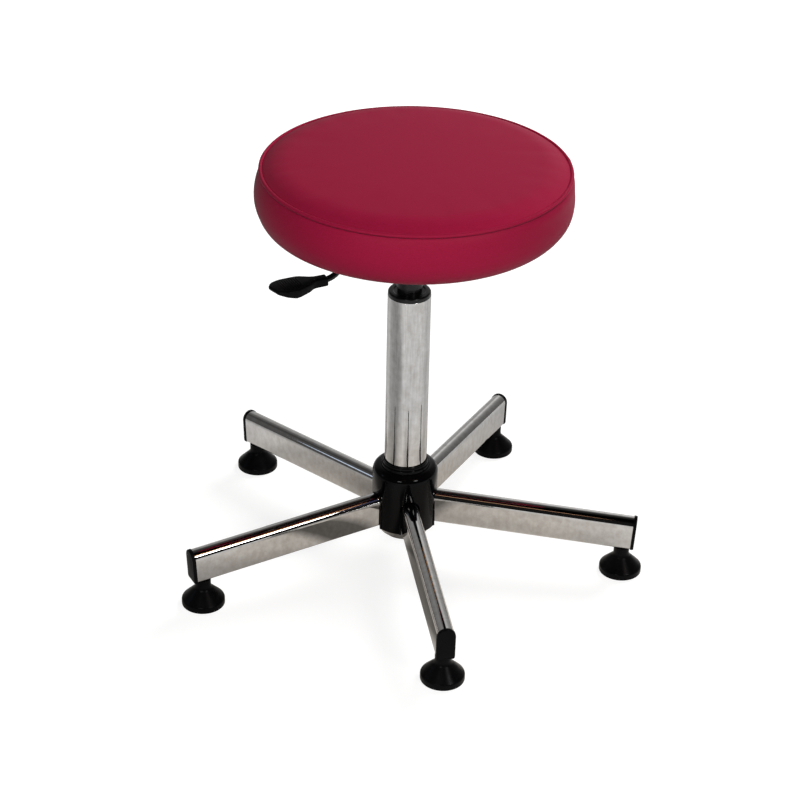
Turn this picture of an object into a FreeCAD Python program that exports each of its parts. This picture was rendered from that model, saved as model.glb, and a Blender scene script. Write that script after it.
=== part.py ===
"""Round swivel stool with a gas-sprung column, as an assembly of separate pieces.

A padded round seat stands on a gas spring whose chromed pressure column is wedged in the hub of a
five-armed base. Millimetres and degrees. +Z is up, the origin is where the column's axis meets the
floor, and the first arm points along -Y. The seat is at the bottom of its travel.
"""
import FreeCAD, Part
import math
import os
import Sketcher

ARM_COUNT = 5
BALL_COUNT = 8
STAPLE_COUNT = 30
PADDLE_RIB_COUNT = 9

# Every driving size, in millimetres or degrees, becomes a cell of the sheet under its own name.
SIZES = {
    # Star base
    "glide_circle_radius": 263.6,  # column axis to each glide's stem
    "arm_under_glide": 36.3,  # floor to the arm's underside, at the glide
    "arm_slope": 3.07,  # degrees that an arm falls towards its end
    "arm_width": 20.0,
    "arm_height": 40.0,
    "arm_wall": 1.5,
    "arm_corner_radius": 2.0,  # the two lower corners
    "arm_beyond_glide": 10.2,  # glide axis to the end of the tube
    "first_arm_azimuth": -90.0,
    # End caps
    "cap_overlap": 0.8,  # how far the cap stands proud of the tube all round
    "cap_thickness": 4.0,
    "cap_edge_radius": 1.4,
    "cap_spigot_depth": 2.0,
    "cap_spigot_gap": 0.2,
    # Glides
    "glide_radius": 25.0,
    "glide_edge_break": 0.4,
    "glide_rim_height": 6.2,  # where the upright rim starts to turn in
    "glide_rim_round": 3.0,
    "glide_flank_lean": 45.0,  # degrees that the flank leans from upright
    "glide_neck_radius": 9.0,
    "glide_neck_round": 9.0,  # where the flank runs up into the neck
    "glide_neck_top": 34.3,
    "stem_radius": 5.5,
    "stem_embedment": 26.0,  # of the stem in the glide
    "stem_length": 55.0,
    "stem_groove_width": 2.0,
    "stem_groove_depth": 0.6,
    "socket_wall": 1.45,
    "socket_length": 31.0,
    "socket_cap": 1.5,
    "running_clearance": 0.05,  # radial, of every shaft that turns or slides in its bore
    "face_gap": 0.3,  # between faces of two pieces that move past each other
    # Hub
    "sleeve_radius": 30.0,
    "sleeve_bottom": 33.0,
    "sleeve_top": 114.0,
    "cover_radius": 39.0,
    "cover_wall": 2.5,
    "cover_bottom": 44.0,
    "cover_shoulder_height": 112.1,
    "cover_shoulder_radius": 10.0,
    "cover_top": 130.0,
    "collar_step_radius": 27.6,
    "collar_step_low": 125.6,
    "collar_step_high": 128.2,
    "collar_lip_radius": 26.6,
    "cover_column_gap": 0.3,
    "cover_slot_gap": 2.0,
    # Pressure column
    "column_radius": 25.0,
    "column_wall": 2.0,
    "column_bottom": 28.0,
    "column_top": 347.0,
    "column_floor": 3.0,
    "column_foot_radius": 24.3,  # the wedge's small end
    "column_wedge_length": 82.0,
    "bush_length": 85.0,  # inside the column
    "bush_flange": 5.0,
    "bush_flange_inset": 0.3,
    "bush_flange_round": 1.8,
    # Gas spring
    "cylinder_radius": 14.0,
    "cylinder_wall": 1.5,
    "cylinder_neck_wall": 2.5,
    "cylinder_taper_start": 360.0,
    "cylinder_top": 408.0,
    "cylinder_top_radius": 13.1,
    "valve_flange": 10.0,
    "valve_bottom": 340.0,
    "valve_bore_depth": 28.0,
    "stroke": 190.0,
    "rod_radius": 5.0,
    "rod_neck_radius": 4.0,
    "rod_overhang": 5.5,  # of the rod below the column
    "rod_guide_length": 20.0,
    "piston_length": 14.0,
    "piston_groove_width": 4.0,
    "piston_groove_depth": 2.5,
    "bearing_race": 1.5,
    "bearing_ball_radius": 2.0,
    "bearing_ball_gap": 0.02,
    "bearing_pitch_radius": 7.7,
    "bearing_outer_radius": 11.0,
    "bearing_cage_height": 1.4,
    "bump_stop_height": 30.0,
    "clip_radius": 6.8,
    "clip_thickness": 1.2,
    "clip_groove_radius": 3.3,
    "clip_opening": 5.0,
    "clip_washer_radius": 8.5,
    "clip_washer_thickness": 1.4,
    "pin_radius": 4.0,
    "pin_length": 30.0,
    "pin_dome_radius": 12.0,
    "pin_stand": 6.0,  # above the top of the cylinder
    # Lever and its housing
    "lever_azimuth": 196.0,
    "pivot_offset": 28.0,  # column axis to the lever's pivot
    "pivot_radius": 2.5,
    "pivot_below_nose": 1.8,  # pivot axis below the nose's flat
    "pivot_lug": 5.0,  # half length of the rocker's lug
    "pivot_lug_wall": 2.2,
    "pivot_head": 1.5,
    "pivot_head_radius": 4.0,
    "rocker_width": 14.0,
    "rocker_inner_end": 8.0,
    "rocker_outer_end": 40.0,
    "rocker_height": 13.5,
    "rod_socket_start": 16.0,
    "lever_rod_radius": 3.5,
    "lever_rod_height": 7.2,  # rod axis above the nose's flat
    "lever_bend_radius": 12.0,
    "lever_bend_start": 55.6,
    "lever_bend_end": 98.0,
    "lever_drop": 35.8,
    "paddle_beyond_bend": 5.0,  # of the grip's inner end
    "paddle_length": 67.0,
    "paddle_half_width": 17.5,
    "paddle_neck_half_width": 6.2,
    "paddle_neck_length": 14.0,
    "paddle_shoulder_length": 24.0,
    "paddle_corner_radius": 7.0,
    "paddle_height": 10.5,
    "paddle_edge_radius": 2.6,
    "paddle_rod_depth": 30.0,
    "paddle_rib_height": 0.6,
    "paddle_rib_width": 1.0,
    "paddle_rib_pitch": 2.6,
    "paddle_rib_half_length": 12.0,
    "paddle_rib_start": 34.0,
    # Seat carrier
    "cone_radius": 15.5,
    "cone_bottom": 357.5,
    "cone_above_cylinder": 2.0,
    "cone_edge_break": 0.8,
    "housing_width": 44.0,
    "housing_wall": 2.0,
    "housing_inner_end": 36.0,
    "housing_outer_end": 48.0,
    "housing_floor": 405.0,
    "plate_thickness": 2.5,
    "plate_corner_radius": 14.0,
    "plate_rim_height": 8.0,
    "plate_hole_spacing": 156.0,
    "plate_hole_to_edge": 17.0,
    "plate_hole_radius": 3.3,
    "screw_radius": 3.0,
    "screw_head_radius": 5.6,
    "screw_head_height": 3.6,
    "tee_nut_flange_radius": 9.5,
    "tee_nut_flange": 1.2,
    "tee_nut_barrel_radius": 4.0,
    "tee_nut_length": 10.0,
    # Upholstery
    "board_radius": 152.0,
    "board_thickness": 12.0,
    "board_bottom": 438.3,
    "cloth_thickness": 0.6,
    "cloth_inset": 0.5,
    "cloth_radius": 147.0,  # outer edge, over the hem
    "cover_thickness": 1.2,
    "hem_radius": 136.0,  # inner edge of the cover turned under the board
    "hem_turn": 0.3,
    "bulge_overhang": 26.6,  # of the side's widest line beyond the board
    "bulge_rise": 34.2,  # of the side's widest line above the board's underside
    "seam_inset": 7.1,  # of the seam from the side's widest line
    "seam_rise": 28.0,  # of the seam above the side's widest line
    "tuck_overhang": 1.7,  # beyond the board, where the side turns under it
    "tuck_drop": 0.8,  # below the board's underside
    "seam_opening": 5.4,  # between the side's edge and the top's
    "seam_lean_angle": 32.1,  # degrees of that opening from the vertical
    "crown_radius": 3800.0,
    "roll_radius": 16.0,
    "roll_end_angle": 45.0,  # degrees from the vertical to where the roll meets the seam
    "piping_radius": 2.3,
    "piping_gap": 0.1,  # between the piping and the foam behind it
    "staple_length": 10.0,
    "staple_width": 1.2,
    "staple_height": 0.5,
    "staple_circle_radius": 143.0,
}


class Term:
    """A size, or a sum or product of sizes, with its text for the sheet and its present value."""

    def __init__(self, text, value):
        self.text = text
        self.value = float(value)

    @staticmethod
    def of(thing):
        """Give a plain number the same form as a term."""
        return thing if isinstance(thing, Term) else Term(repr(float(thing)), thing)

    def joined(self, other, sign, value):
        """Write this term, a sign and another term between brackets."""
        return Term(f"({self.text} {sign} {Term.of(other).text})", value)

    def __add__(self, other):
        return self.joined(other, "+", self.value + Term.of(other).value)

    def __sub__(self, other):
        return self.joined(other, "-", self.value - Term.of(other).value)

    def __mul__(self, other):
        return self.joined(other, "*", self.value * Term.of(other).value)

    def __truediv__(self, other):
        return self.joined(other, "/", self.value / Term.of(other).value)

    def __radd__(self, other):
        return Term.of(other) + self

    def __rsub__(self, other):
        return Term.of(other) - self

    def __rmul__(self, other):
        return Term.of(other) * self

    def __neg__(self):
        return Term(f"(0 - {self.text})", -self.value)


def sine(angle):
    """Sine of a term in degrees."""
    return Term(f"sin({angle.text} * 1 deg)", math.sin(math.radians(angle.value)))


def cosine(angle):
    """Cosine of a term in degrees."""
    return Term(f"cos({angle.text} * 1 deg)", math.cos(math.radians(angle.value)))


def length_of(across, up):
    """Length of the line that spans two distances at right angles."""
    text = f"sqrt({across.text} ^ 2 + {up.text} ^ 2)"
    return Term(text, math.hypot(across.value, up.value))


def side_of(slant, across):
    """The third side of a right triangle whose longest side and one other are given."""
    text = f"sqrt({slant.text} ^ 2 - {across.text} ^ 2)"
    return Term(text, math.sqrt(slant.value**2 - across.value**2))


class Sizes:
    """The sheet's cells, each read as a term by its name."""

    def __init__(self, sheet):
        self.sheet = sheet
        for row, (name, value) in enumerate(SIZES.items(), start=1):
            sheet.set(f"A{row}", name)
            sheet.set(f"B{row}", str(value))
            sheet.setAlias(f"B{row}", name)

    def __getattr__(self, name):
        return Term(f"dims.{name}", SIZES[name])


doc = FreeCAD.newDocument("stool")
d = Sizes(doc.addObject("Spreadsheet::Sheet", "dims"))
doc.recompute()
nodes = []


def bind(thing, path, size):
    """Tie one property, or one part of a placement, to a size."""
    thing.setExpression(path, Term.of(size).text)


def place(thing, x=0, y=0, z=0, turn=0):
    """Place a piece, turned about the vertical."""
    vertical = FreeCAD.Vector(0, 0, 1)
    thing.Placement = FreeCAD.Placement(FreeCAD.Vector(0, 0, 0), FreeCAD.Rotation(vertical, 1))
    bind(thing, "Placement.Base.x", x)
    bind(thing, "Placement.Base.y", y)
    bind(thing, "Placement.Base.z", z)
    bind(thing, "Placement.Rotation.Angle", turn)


def keep(thing, label):
    """Name a finished sub-part and put it on the list of those that are written."""
    thing.Label = label
    nodes.append(thing)
    return thing


def plane(body, role):
    """One of a body's own origin planes."""
    return next(part for part in body.Origin.OriginFeatures if part.Role == role)


def sketch_on(body, name, role, along=0, up=0, tilt=0):
    """A sketch on an origin plane, lifted along the normal and up, and tilted about its own X."""
    sketch = body.newObject("Sketcher::SketchObject", name)
    sketch.AttachmentSupport = [(plane(body, role), "")]
    sketch.MapMode = "FlatFace"
    across = FreeCAD.Rotation(FreeCAD.Vector(1, 0, 0), 1 if Term.of(tilt).value else 0)
    sketch.AttachmentOffset = FreeCAD.Placement(FreeCAD.Vector(0, 0, 0), across)
    bind(sketch, "AttachmentOffset.Base.z", along)
    bind(sketch, "AttachmentOffset.Base.y", up)
    if Term.of(tilt).value:
        bind(sketch, "AttachmentOffset.Rotation.Angle", tilt)
    return sketch


def pin_axis(sketch, geometry, point, kind, axis, size):
    """Hold one coordinate of a point at a size, on either side of the origin or on the axis."""
    size = Term.of(size)
    if abs(size.value) < 1e-9:
        sketch.addConstraint(Sketcher.Constraint("PointOnObject", geometry, point, axis))
        return
    ends = (-1, 1, geometry, point) if size.value > 0 else (geometry, point, -1, 1)
    index = sketch.addConstraint(Sketcher.Constraint(kind, *ends, abs(size.value)))
    bind(sketch, f"Constraints[{index}]", size if size.value > 0 else -size)


def pin_point(sketch, geometry, point, x, y):
    """Hold a point at two sizes."""
    pin_axis(sketch, geometry, point, "DistanceX", -2, x)
    pin_axis(sketch, geometry, point, "DistanceY", -1, y)


def arc_between(start, end, radius, turn):
    """The short arc from start to end, with its centre on the left where turn is 1."""
    chord = end - start
    reach = math.sqrt(max(radius * radius - chord.Length * chord.Length / 4, 0))
    left = FreeCAD.Vector(-chord.y, chord.x, 0).normalize()
    centre = (start + end) * 0.5 + left * (reach * turn)
    first, last = (start, end) if turn > 0 else (end, start)
    from_angle = math.atan2(first.y - centre.y, first.x - centre.x)
    to_angle = math.atan2(last.y - centre.y, last.x - centre.x)
    if to_angle < from_angle:
        to_angle += 2 * math.pi
    circle = Part.Circle(centre, FreeCAD.Vector(0, 0, 1), radius)
    return Part.ArcOfCircle(circle, from_angle, to_angle)


def draw(sketch, corners):
    """Draw a closed outline; a corner (x, y, radius, turn) leads to the next one by an arc."""
    spans = []
    for number, corner in enumerate(corners):
        following = corners[(number + 1) % len(corners)]
        start = FreeCAD.Vector(Term.of(corner[0]).value, Term.of(corner[1]).value, 0)
        end = FreeCAD.Vector(Term.of(following[0]).value, Term.of(following[1]).value, 0)
        if len(corner) == 2:
            spans.append((sketch.addGeometry(Part.LineSegment(start, end)), 1, 2))
            continue
        radius, turn = Term.of(corner[2]), corner[3]
        curve = sketch.addGeometry(arc_between(start, end, radius.value, turn))
        spans.append((curve, 1, 2) if turn > 0 else (curve, 2, 1))
    for number, (geometry, first, last) in enumerate(spans):
        following = spans[(number + 1) % len(spans)]
        sketch.addConstraint(
            Sketcher.Constraint("Coincident", geometry, last, following[0], following[1])
        )
    for corner, (geometry, first, last) in zip(corners, spans):
        pin_point(sketch, geometry, first, corner[0], corner[1])
        if len(corner) == 4:
            radius = Term.of(corner[2])
            index = sketch.addConstraint(Sketcher.Constraint("Radius", geometry, radius.value))
            bind(sketch, f"Constraints[{index}]", radius)


def circle_in(sketch, x, y, radius):
    """Draw one circle."""
    radius = Term.of(radius)
    middle = FreeCAD.Vector(Term.of(x).value, Term.of(y).value, 0)
    curve = sketch.addGeometry(Part.Circle(middle, FreeCAD.Vector(0, 0, 1), radius.value))
    index = sketch.addConstraint(Sketcher.Constraint("Radius", curve, radius.value))
    bind(sketch, f"Constraints[{index}]", radius)
    pin_point(sketch, curve, 3, x, y)


def new_body(name):
    """An empty body."""
    return doc.addObject("PartDesign::Body", name)


def pad(body, sketch, length, backwards=False):
    """Raise a sketch along its normal, or against it."""
    feature = body.newObject("PartDesign::Pad", f"{sketch.Name}_pad")
    feature.Profile = sketch
    bind(feature, "Length", length)
    feature.Reversed = backwards
    return feature


def pocket(body, sketch, length, backwards=False):
    """Cut a sketch along its normal, or against it."""
    feature = body.newObject("PartDesign::Pocket", f"{sketch.Name}_pocket")
    feature.Profile = sketch
    bind(feature, "Length", length)
    feature.Reversed = backwards
    return feature


def revolve(body, sketch, kind="PartDesign::Revolution"):
    """Turn a sketch on the XZ plane a full turn about the body's own Z."""
    feature = body.newObject(kind, f"{sketch.Name}_turned")
    feature.Profile = sketch
    feature.ReferenceAxis = (sketch, ["V_Axis"])
    feature.Angle = 360.0
    return feature


def turned(label, corners, x=0, y=0, z=0):
    """A turned piece from the outline of half its section, (radius, height) by corner."""
    body = new_body(label)
    sketch = sketch_on(body, f"{label}_section", "XZ_Plane")
    draw(sketch, corners)
    revolve(body, sketch)
    place(body, x, y, z)
    return keep(body, label)


def washer(label, inner, outer, height, x=0, y=0, z=0):
    """A plain ring."""
    section = [(inner, 0), (outer, 0), (outer, height), (inner, height)]
    return turned(label, section, x, y, z)


def cylinder(name, radius, height, x=0, y=0, z=0):
    """An upright cylinder to cut or join with."""
    tool = doc.addObject("Part::Cylinder", name)
    bind(tool, "Radius", radius)
    bind(tool, "Height", height)
    place(tool, x, y, z)
    return tool


def box(name, length, width, height, x=0, y=0, z=0):
    """A box that runs from x along X and stands on z, centred across Y on y."""
    tool = doc.addObject("Part::Box", name)
    bind(tool, "Length", length)
    bind(tool, "Width", width)
    bind(tool, "Height", height)
    place(tool, x, Term.of(y) - Term.of(width) / 2, z)
    return tool


def joined(name, pieces):
    """Several shapes as one."""
    result = doc.addObject("Part::MultiFuse", name)
    result.Shapes = pieces
    result.Refine = True
    return result


def less(name, base, tool):
    """A shape with another one cut away."""
    result = doc.addObject("Part::Cut", name)
    result.Base = base
    result.Tool = tool
    result.Refine = True
    return result


def side_by_side(name, pieces):
    """Identical pieces kept as separate solids of one sub-part."""
    result = doc.addObject("Part::Compound", name)
    result.Links = pieces
    return result


def edges_at(feature, chosen):
    """Names of the edges of a recomputed feature whose middle point passes a test."""
    doc.recompute()
    names = []
    for number, edge in enumerate(feature.Shape.Edges, start=1):
        middle = edge.valueAt((edge.FirstParameter + edge.LastParameter) / 2)
        if chosen(middle, edge):
            names.append(f"Edge{number}")
    return names


def rounded(body, feature, radius, chosen, name):
    """Round the chosen edges of a feature."""
    fillet = body.newObject("PartDesign::Fillet", name)
    fillet.Base = (feature, edges_at(feature, chosen))
    bind(fillet, "Radius", radius)
    return fillet


def arch(width, height, corner, up=0):
    """Outline with a half-round top and two small lower corners, its foot on the X axis."""
    half = width / 2
    spring = up + height - half
    return [
        (corner - half, up),
        (half - corner, up, corner, 1),
        (half, up + corner),
        (half, spring, half, 1),
        (0, up + height, half, 1),
        (-half, spring),
        (-half, up + corner, corner, 1),
    ]


# Star base. Heights along an arm follow from its slope and from the glide that carries its end.
slope_rise = sine(d.arm_slope) / cosine(d.arm_slope)


def arm_underside(radius):
    """Height of an arm's underside at a distance from the column's axis."""
    return d.arm_under_glide + (d.glide_circle_radius - radius) * slope_rise


tube_end = d.glide_circle_radius + d.arm_beyond_glide
tube_start = d.sleeve_radius / 2
socket_radius = d.stem_radius + d.running_clearance + d.socket_wall
socket_bottom = d.glide_neck_top + d.face_gap


def make_arm(number, azimuth):
    """A steel tube with a half-round top, coped to the hub sleeve and holed for its socket."""
    body = new_body(f"arm_{number}")
    section = sketch_on(
        body, f"arm_section_{number}", "YZ_Plane", tube_start, arm_underside(tube_start), d.arm_slope
    )
    draw(section, arch(d.arm_width, d.arm_height, d.arm_corner_radius))
    inner_width = d.arm_width - 2 * d.arm_wall
    inner_height = d.arm_height - 2 * d.arm_wall
    draw(section, arch(inner_width, inner_height, d.arm_corner_radius - d.arm_wall, d.arm_wall))
    pad(body, section, (tube_end - tube_start) / cosine(d.arm_slope))
    cope = sketch_on(body, f"arm_cope_{number}", "XZ_Plane")
    top = arm_underside(0) + d.arm_height * 2
    draw(cope, [(0, 0), (d.sleeve_radius, 0), (d.sleeve_radius, top), (0, top)])
    revolve(body, cope, "PartDesign::Groove")
    hole = sketch_on(body, f"arm_hole_{number}", "XY_Plane")
    circle_in(hole, d.glide_circle_radius, 0, socket_radius)
    pocket(body, hole, arm_underside(d.glide_circle_radius) + d.arm_height / 2, backwards=True)
    place(body, turn=azimuth)
    return keep(body, f"arm_{number}")


def make_end_cap(number, azimuth):
    """A black plug: a plate that covers the tube's end, and a short spigot inside it."""
    body = new_body(f"arm_end_cap_{number}")
    lift = arm_underside(tube_end)
    grown = 2 * d.cap_overlap
    face = sketch_on(body, f"cap_face_{number}", "YZ_Plane", tube_end, lift, d.arm_slope)
    draw(
        face,
        arch(d.arm_width + grown, d.arm_height + grown, d.arm_corner_radius + d.cap_overlap, -d.cap_overlap),
    )
    plate = pad(body, face, d.cap_thickness)
    shrink = d.arm_wall + d.cap_spigot_gap
    plug = sketch_on(body, f"cap_plug_{number}", "YZ_Plane", tube_end, lift, d.arm_slope)
    draw(plug, arch(d.arm_width - 2 * shrink, d.arm_height - 2 * shrink, d.cap_spigot_gap * 2, shrink))
    outer_face = tube_end.value + d.cap_thickness.value / 2

    def on_outer_face(middle, edge):
        along = middle.x - (middle.z - lift.value) * math.tan(math.radians(d.arm_slope.value))
        return along > outer_face and abs(along - tube_end.value) > 1

    edge_round = rounded(body, plate, d.cap_edge_radius, on_outer_face, f"cap_round_{number}")
    spigot = pad(body, plug, d.cap_spigot_depth, backwards=True)
    body.Tip = spigot
    place(body, turn=azimuth)
    return keep(body, f"arm_end_cap_{number}")


rounded_off = 1 - cosine(d.glide_flank_lean)
flank_outer = d.glide_radius - d.glide_rim_round * rounded_off
flank_inner = d.glide_neck_radius + d.glide_neck_round * rounded_off
flank_low = d.glide_rim_height + d.glide_rim_round * sine(d.glide_flank_lean)
flank_high = flank_low + (flank_outer - flank_inner) * cosine(d.glide_flank_lean) / sine(d.glide_flank_lean)


def make_glide(number, azimuth):
    """The moulded glide with its conical foot, the steel stem in it and the socket over the stem."""
    across = d.glide_circle_radius * cosine(azimuth)
    along = d.glide_circle_radius * sine(azimuth)
    stem_foot = d.glide_neck_top - d.stem_embedment
    turned(
        f"glide_pad_{number}",
        [
            (0, 0),
            (d.glide_radius - d.glide_edge_break, 0),
            (d.glide_radius, d.glide_edge_break),
            (d.glide_radius, d.glide_rim_height, d.glide_rim_round, 1),
            (flank_outer, flank_low),
            (flank_inner, flank_high, d.glide_neck_round, -1),
            (d.glide_neck_radius, flank_high + d.glide_neck_round * sine(d.glide_flank_lean)),
            (d.glide_neck_radius, d.glide_neck_top),
            (d.stem_radius, d.glide_neck_top),
            (d.stem_radius, stem_foot),
            (0, stem_foot),
        ],
        across,
        along,
    )
    groove_low = d.stem_length - d.stem_groove_width * 3
    groove_high = groove_low + d.stem_groove_width
    groove = d.stem_radius - d.stem_groove_depth
    turned(
        f"glide_stem_{number}",
        [
            (0, 0),
            (d.stem_radius, 0),
            (d.stem_radius, groove_low),
            (groove, groove_low),
            (groove, groove_high),
            (d.stem_radius, groove_high),
            (d.stem_radius, d.stem_length - d.stem_groove_depth * 2),
            (d.stem_radius - d.stem_groove_depth * 2, d.stem_length),
            (0, d.stem_length),
        ],
        across,
        along,
        stem_foot,
    )
    bore = d.stem_radius + d.running_clearance
    turned(
        f"glide_socket_{number}",
        [
            (bore, 0),
            (socket_radius, 0),
            (socket_radius, d.socket_length),
            (0, d.socket_length),
            (0, d.socket_length - d.socket_cap),
            (bore, d.socket_length - d.socket_cap),
        ],
        across,
        along,
        socket_bottom,
    )


def make_base_arms():
    """Each arm with its cap, glide, stem and socket."""
    for number in range(1, ARM_COUNT + 1):
        azimuth = d.first_arm_azimuth + 360.0 / ARM_COUNT * (number - 1)
        make_arm(number, azimuth)
        make_end_cap(number, azimuth)
        make_glide(number, azimuth)


# Hub. The column's lower end and the sleeve's bore share one wedge.
wedge_rise = (d.column_radius - d.column_foot_radius) / d.column_wedge_length
wedge_top = d.column_bottom + d.column_wedge_length


def make_hub_sleeve():
    """Steel sleeve that the arms are welded to, bored to the column's wedge."""
    bore_foot = d.column_foot_radius + (d.sleeve_bottom - d.column_bottom) * wedge_rise
    turned(
        "hub_sleeve",
        [
            (bore_foot, d.sleeve_bottom),
            (d.sleeve_radius, d.sleeve_bottom),
            (d.sleeve_radius, d.sleeve_top),
            (d.column_radius, d.sleeve_top),
            (d.column_radius, wedge_top),
        ],
    )


def make_hub_cover():
    """Moulded cover over the hub, with an arched slot for each arm."""
    body = new_body("hub_cover")
    section = sketch_on(body, "cover_section", "XZ_Plane")
    inner = d.cover_radius - d.cover_wall
    shoulder = d.cover_radius - d.cover_shoulder_radius
    shoulder_top = d.cover_shoulder_height + d.cover_shoulder_radius
    ceiling = shoulder_top - d.cover_wall
    bore = d.column_radius + d.cover_column_gap
    draw(
        section,
        [
            (d.cover_radius, d.cover_bottom),
            (d.cover_radius, d.cover_shoulder_height, d.cover_shoulder_radius, 1),
            (shoulder, shoulder_top),
            (shoulder, d.collar_step_low),
            (d.collar_step_radius, d.collar_step_low),
            (d.collar_step_radius, d.collar_step_high),
            (d.collar_lip_radius, d.collar_step_high),
            (d.collar_lip_radius, d.cover_top),
            (bore, d.cover_top),
            (bore, ceiling),
            (shoulder, ceiling, d.cover_shoulder_radius - d.cover_wall, -1),
            (inner, d.cover_shoulder_height),
            (inner, d.cover_bottom),
        ],
    )
    revolve(body, section)
    slot = sketch_on(body, "cover_slot", "YZ_Plane")
    half = d.arm_width / 2 + d.cover_slot_gap
    spring = arm_underside(d.cover_radius) + d.arm_height - d.arm_width / 2
    below = d.cover_bottom - d.cover_wall
    draw(
        slot,
        [
            (-half, below),
            (half, below),
            (half, spring, half, 1),
            (0, spring + half, half, 1),
            (-half, spring),
        ],
    )
    slot_cut = pocket(body, slot, d.cover_radius * 2, backwards=True)
    slots = body.newObject("PartDesign::PolarPattern", "cover_slots")
    slots.Originals = [slot_cut]
    slots.Axis = (section, ["V_Axis"])
    slots.Angle = 360.0
    slots.Occurrences = ARM_COUNT
    body.Tip = slots
    place(body, turn=d.first_arm_azimuth)
    keep(body, "hub_cover")


# Column and gas spring, stacked on the column's floor from the thrust bearing upwards.
column_bore = d.column_radius - d.column_wall
race_bottom = d.column_bottom + d.column_floor
balls_height = race_bottom + d.bearing_race + d.bearing_ball_radius
upper_race = balls_height + d.bearing_ball_radius
rod_shoulder = upper_race + d.bearing_race
cylinder_bottom = rod_shoulder + d.bump_stop_height + d.face_gap
cylinder_bore = d.cylinder_radius - d.cylinder_wall
guide_top = cylinder_bottom + d.rod_guide_length
piston_bottom = guide_top + d.stroke + d.face_gap
neck_bore = d.rod_neck_radius + d.running_clearance
cylinder_neck_bore = d.cylinder_top_radius - d.cylinder_neck_wall + d.cylinder_wall / 2
valve_top = d.valve_bottom + d.valve_flange


def make_column():
    """Chromed pressure column with its wedge end and the floor that carries the bearing."""
    turned(
        "column_tube",
        [
            (neck_bore, d.column_bottom),
            (d.column_foot_radius, d.column_bottom),
            (d.column_radius, wedge_top),
            (d.column_radius, d.column_top),
            (column_bore, d.column_top),
            (column_bore, race_bottom),
            (neck_bore, race_bottom),
        ],
    )
    flange = d.column_radius - d.bush_flange_inset
    bore = d.cylinder_radius + d.running_clearance
    turned(
        "guide_bush",
        [
            (bore, d.column_top - d.bush_length),
            (column_bore, d.column_top - d.bush_length),
            (column_bore, d.column_top),
            (flange, d.column_top),
            (flange, d.column_top + d.bush_flange - d.bush_flange_round, d.bush_flange_round, 1),
            (flange - d.bush_flange_round, d.column_top + d.bush_flange),
            (bore, d.column_top + d.bush_flange),
        ],
    )


def make_thrust_bearing():
    """Two races with a caged ring of balls between them, round the rod's neck."""
    clear_bore = d.rod_neck_radius + d.face_gap
    washer("bearing_race_lower", clear_bore, d.bearing_outer_radius, d.bearing_race, z=race_bottom)
    washer("bearing_race_upper", d.rod_neck_radius, d.bearing_outer_radius, d.bearing_race, z=upper_race)
    ball_radius = d.bearing_ball_radius - d.bearing_ball_gap
    cage_inner = clear_bore + d.face_gap
    cage_outer = d.bearing_outer_radius - d.face_gap
    cage_bottom = balls_height - d.bearing_cage_height / 2
    ring = cylinder("cage_blank", cage_outer, d.bearing_cage_height, z=cage_bottom)
    cutters = [cylinder("cage_bore", cage_inner, d.bearing_cage_height, z=cage_bottom)]
    balls = []
    for number in range(BALL_COUNT):
        azimuth = Term.of(360.0 / BALL_COUNT * number)
        x = d.bearing_pitch_radius * cosine(azimuth)
        y = d.bearing_pitch_radius * sine(azimuth)
        ball = doc.addObject("Part::Sphere", f"ball_{number + 1}")
        bind(ball, "Radius", ball_radius)
        place(ball, x, y, balls_height)
        balls.append(ball)
        pocket_radius = d.bearing_ball_radius + d.running_clearance
        name = f"cage_pocket_{number + 1}"
        cutters.append(cylinder(name, pocket_radius, d.bearing_cage_height, x, y, cage_bottom))
    cage = less("bearing_cage", ring, joined("cage_cutters", cutters))
    keep(side_by_side("bearing_balls", [cage] + balls), "bearing_balls")


def make_spindle():
    """The rod that stands on the bearing, its piston, bump stop, washer and clip."""
    rod_bottom = d.column_bottom - d.rod_overhang
    clip_top = d.column_bottom - d.face_gap - d.clip_washer_thickness
    clip_bottom = clip_top - d.clip_thickness
    piston_top = piston_bottom + d.piston_length
    turned(
        "piston_rod",
        [
            (0, rod_bottom),
            (d.rod_neck_radius, rod_bottom),
            (d.rod_neck_radius, clip_bottom),
            (d.clip_groove_radius, clip_bottom),
            (d.clip_groove_radius, clip_top),
            (d.rod_neck_radius, clip_top),
            (d.rod_neck_radius, rod_shoulder),
            (d.rod_radius, rod_shoulder),
            (d.rod_radius, piston_bottom),
            (d.rod_neck_radius, piston_bottom),
            (d.rod_neck_radius, piston_top),
            (0, piston_top),
        ],
    )
    piston_radius = cylinder_bore - d.running_clearance
    groove = piston_radius - d.piston_groove_depth
    groove_low = (d.piston_length - d.piston_groove_width) / 2
    groove_high = groove_low + d.piston_groove_width
    turned(
        "piston",
        [
            (d.rod_neck_radius, 0),
            (piston_radius, 0),
            (piston_radius, groove_low),
            (groove, groove_low),
            (groove, groove_high),
            (piston_radius, groove_high),
            (piston_radius, d.piston_length),
            (d.rod_neck_radius, d.piston_length),
        ],
        z=piston_bottom,
    )
    washer("piston_seal", groove, piston_radius, d.piston_groove_width, z=piston_bottom + groove_low)
    washer("bump_stop", d.rod_radius, d.bearing_outer_radius, d.bump_stop_height, z=rod_shoulder)
    washer("clip_washer", d.rod_neck_radius, d.clip_washer_radius, d.clip_washer_thickness, z=clip_top)
    ring = cylinder("clip_blank", d.clip_radius, d.clip_thickness, z=clip_bottom)
    bore = cylinder("clip_bore", d.clip_groove_radius, d.clip_thickness, z=clip_bottom)
    mouth = box("clip_mouth", d.clip_radius * 2, d.clip_opening, d.clip_thickness, z=clip_bottom)
    keep(less("retaining_clip", ring, joined("clip_cutters", [bore, mouth])), "retaining_clip")


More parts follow.
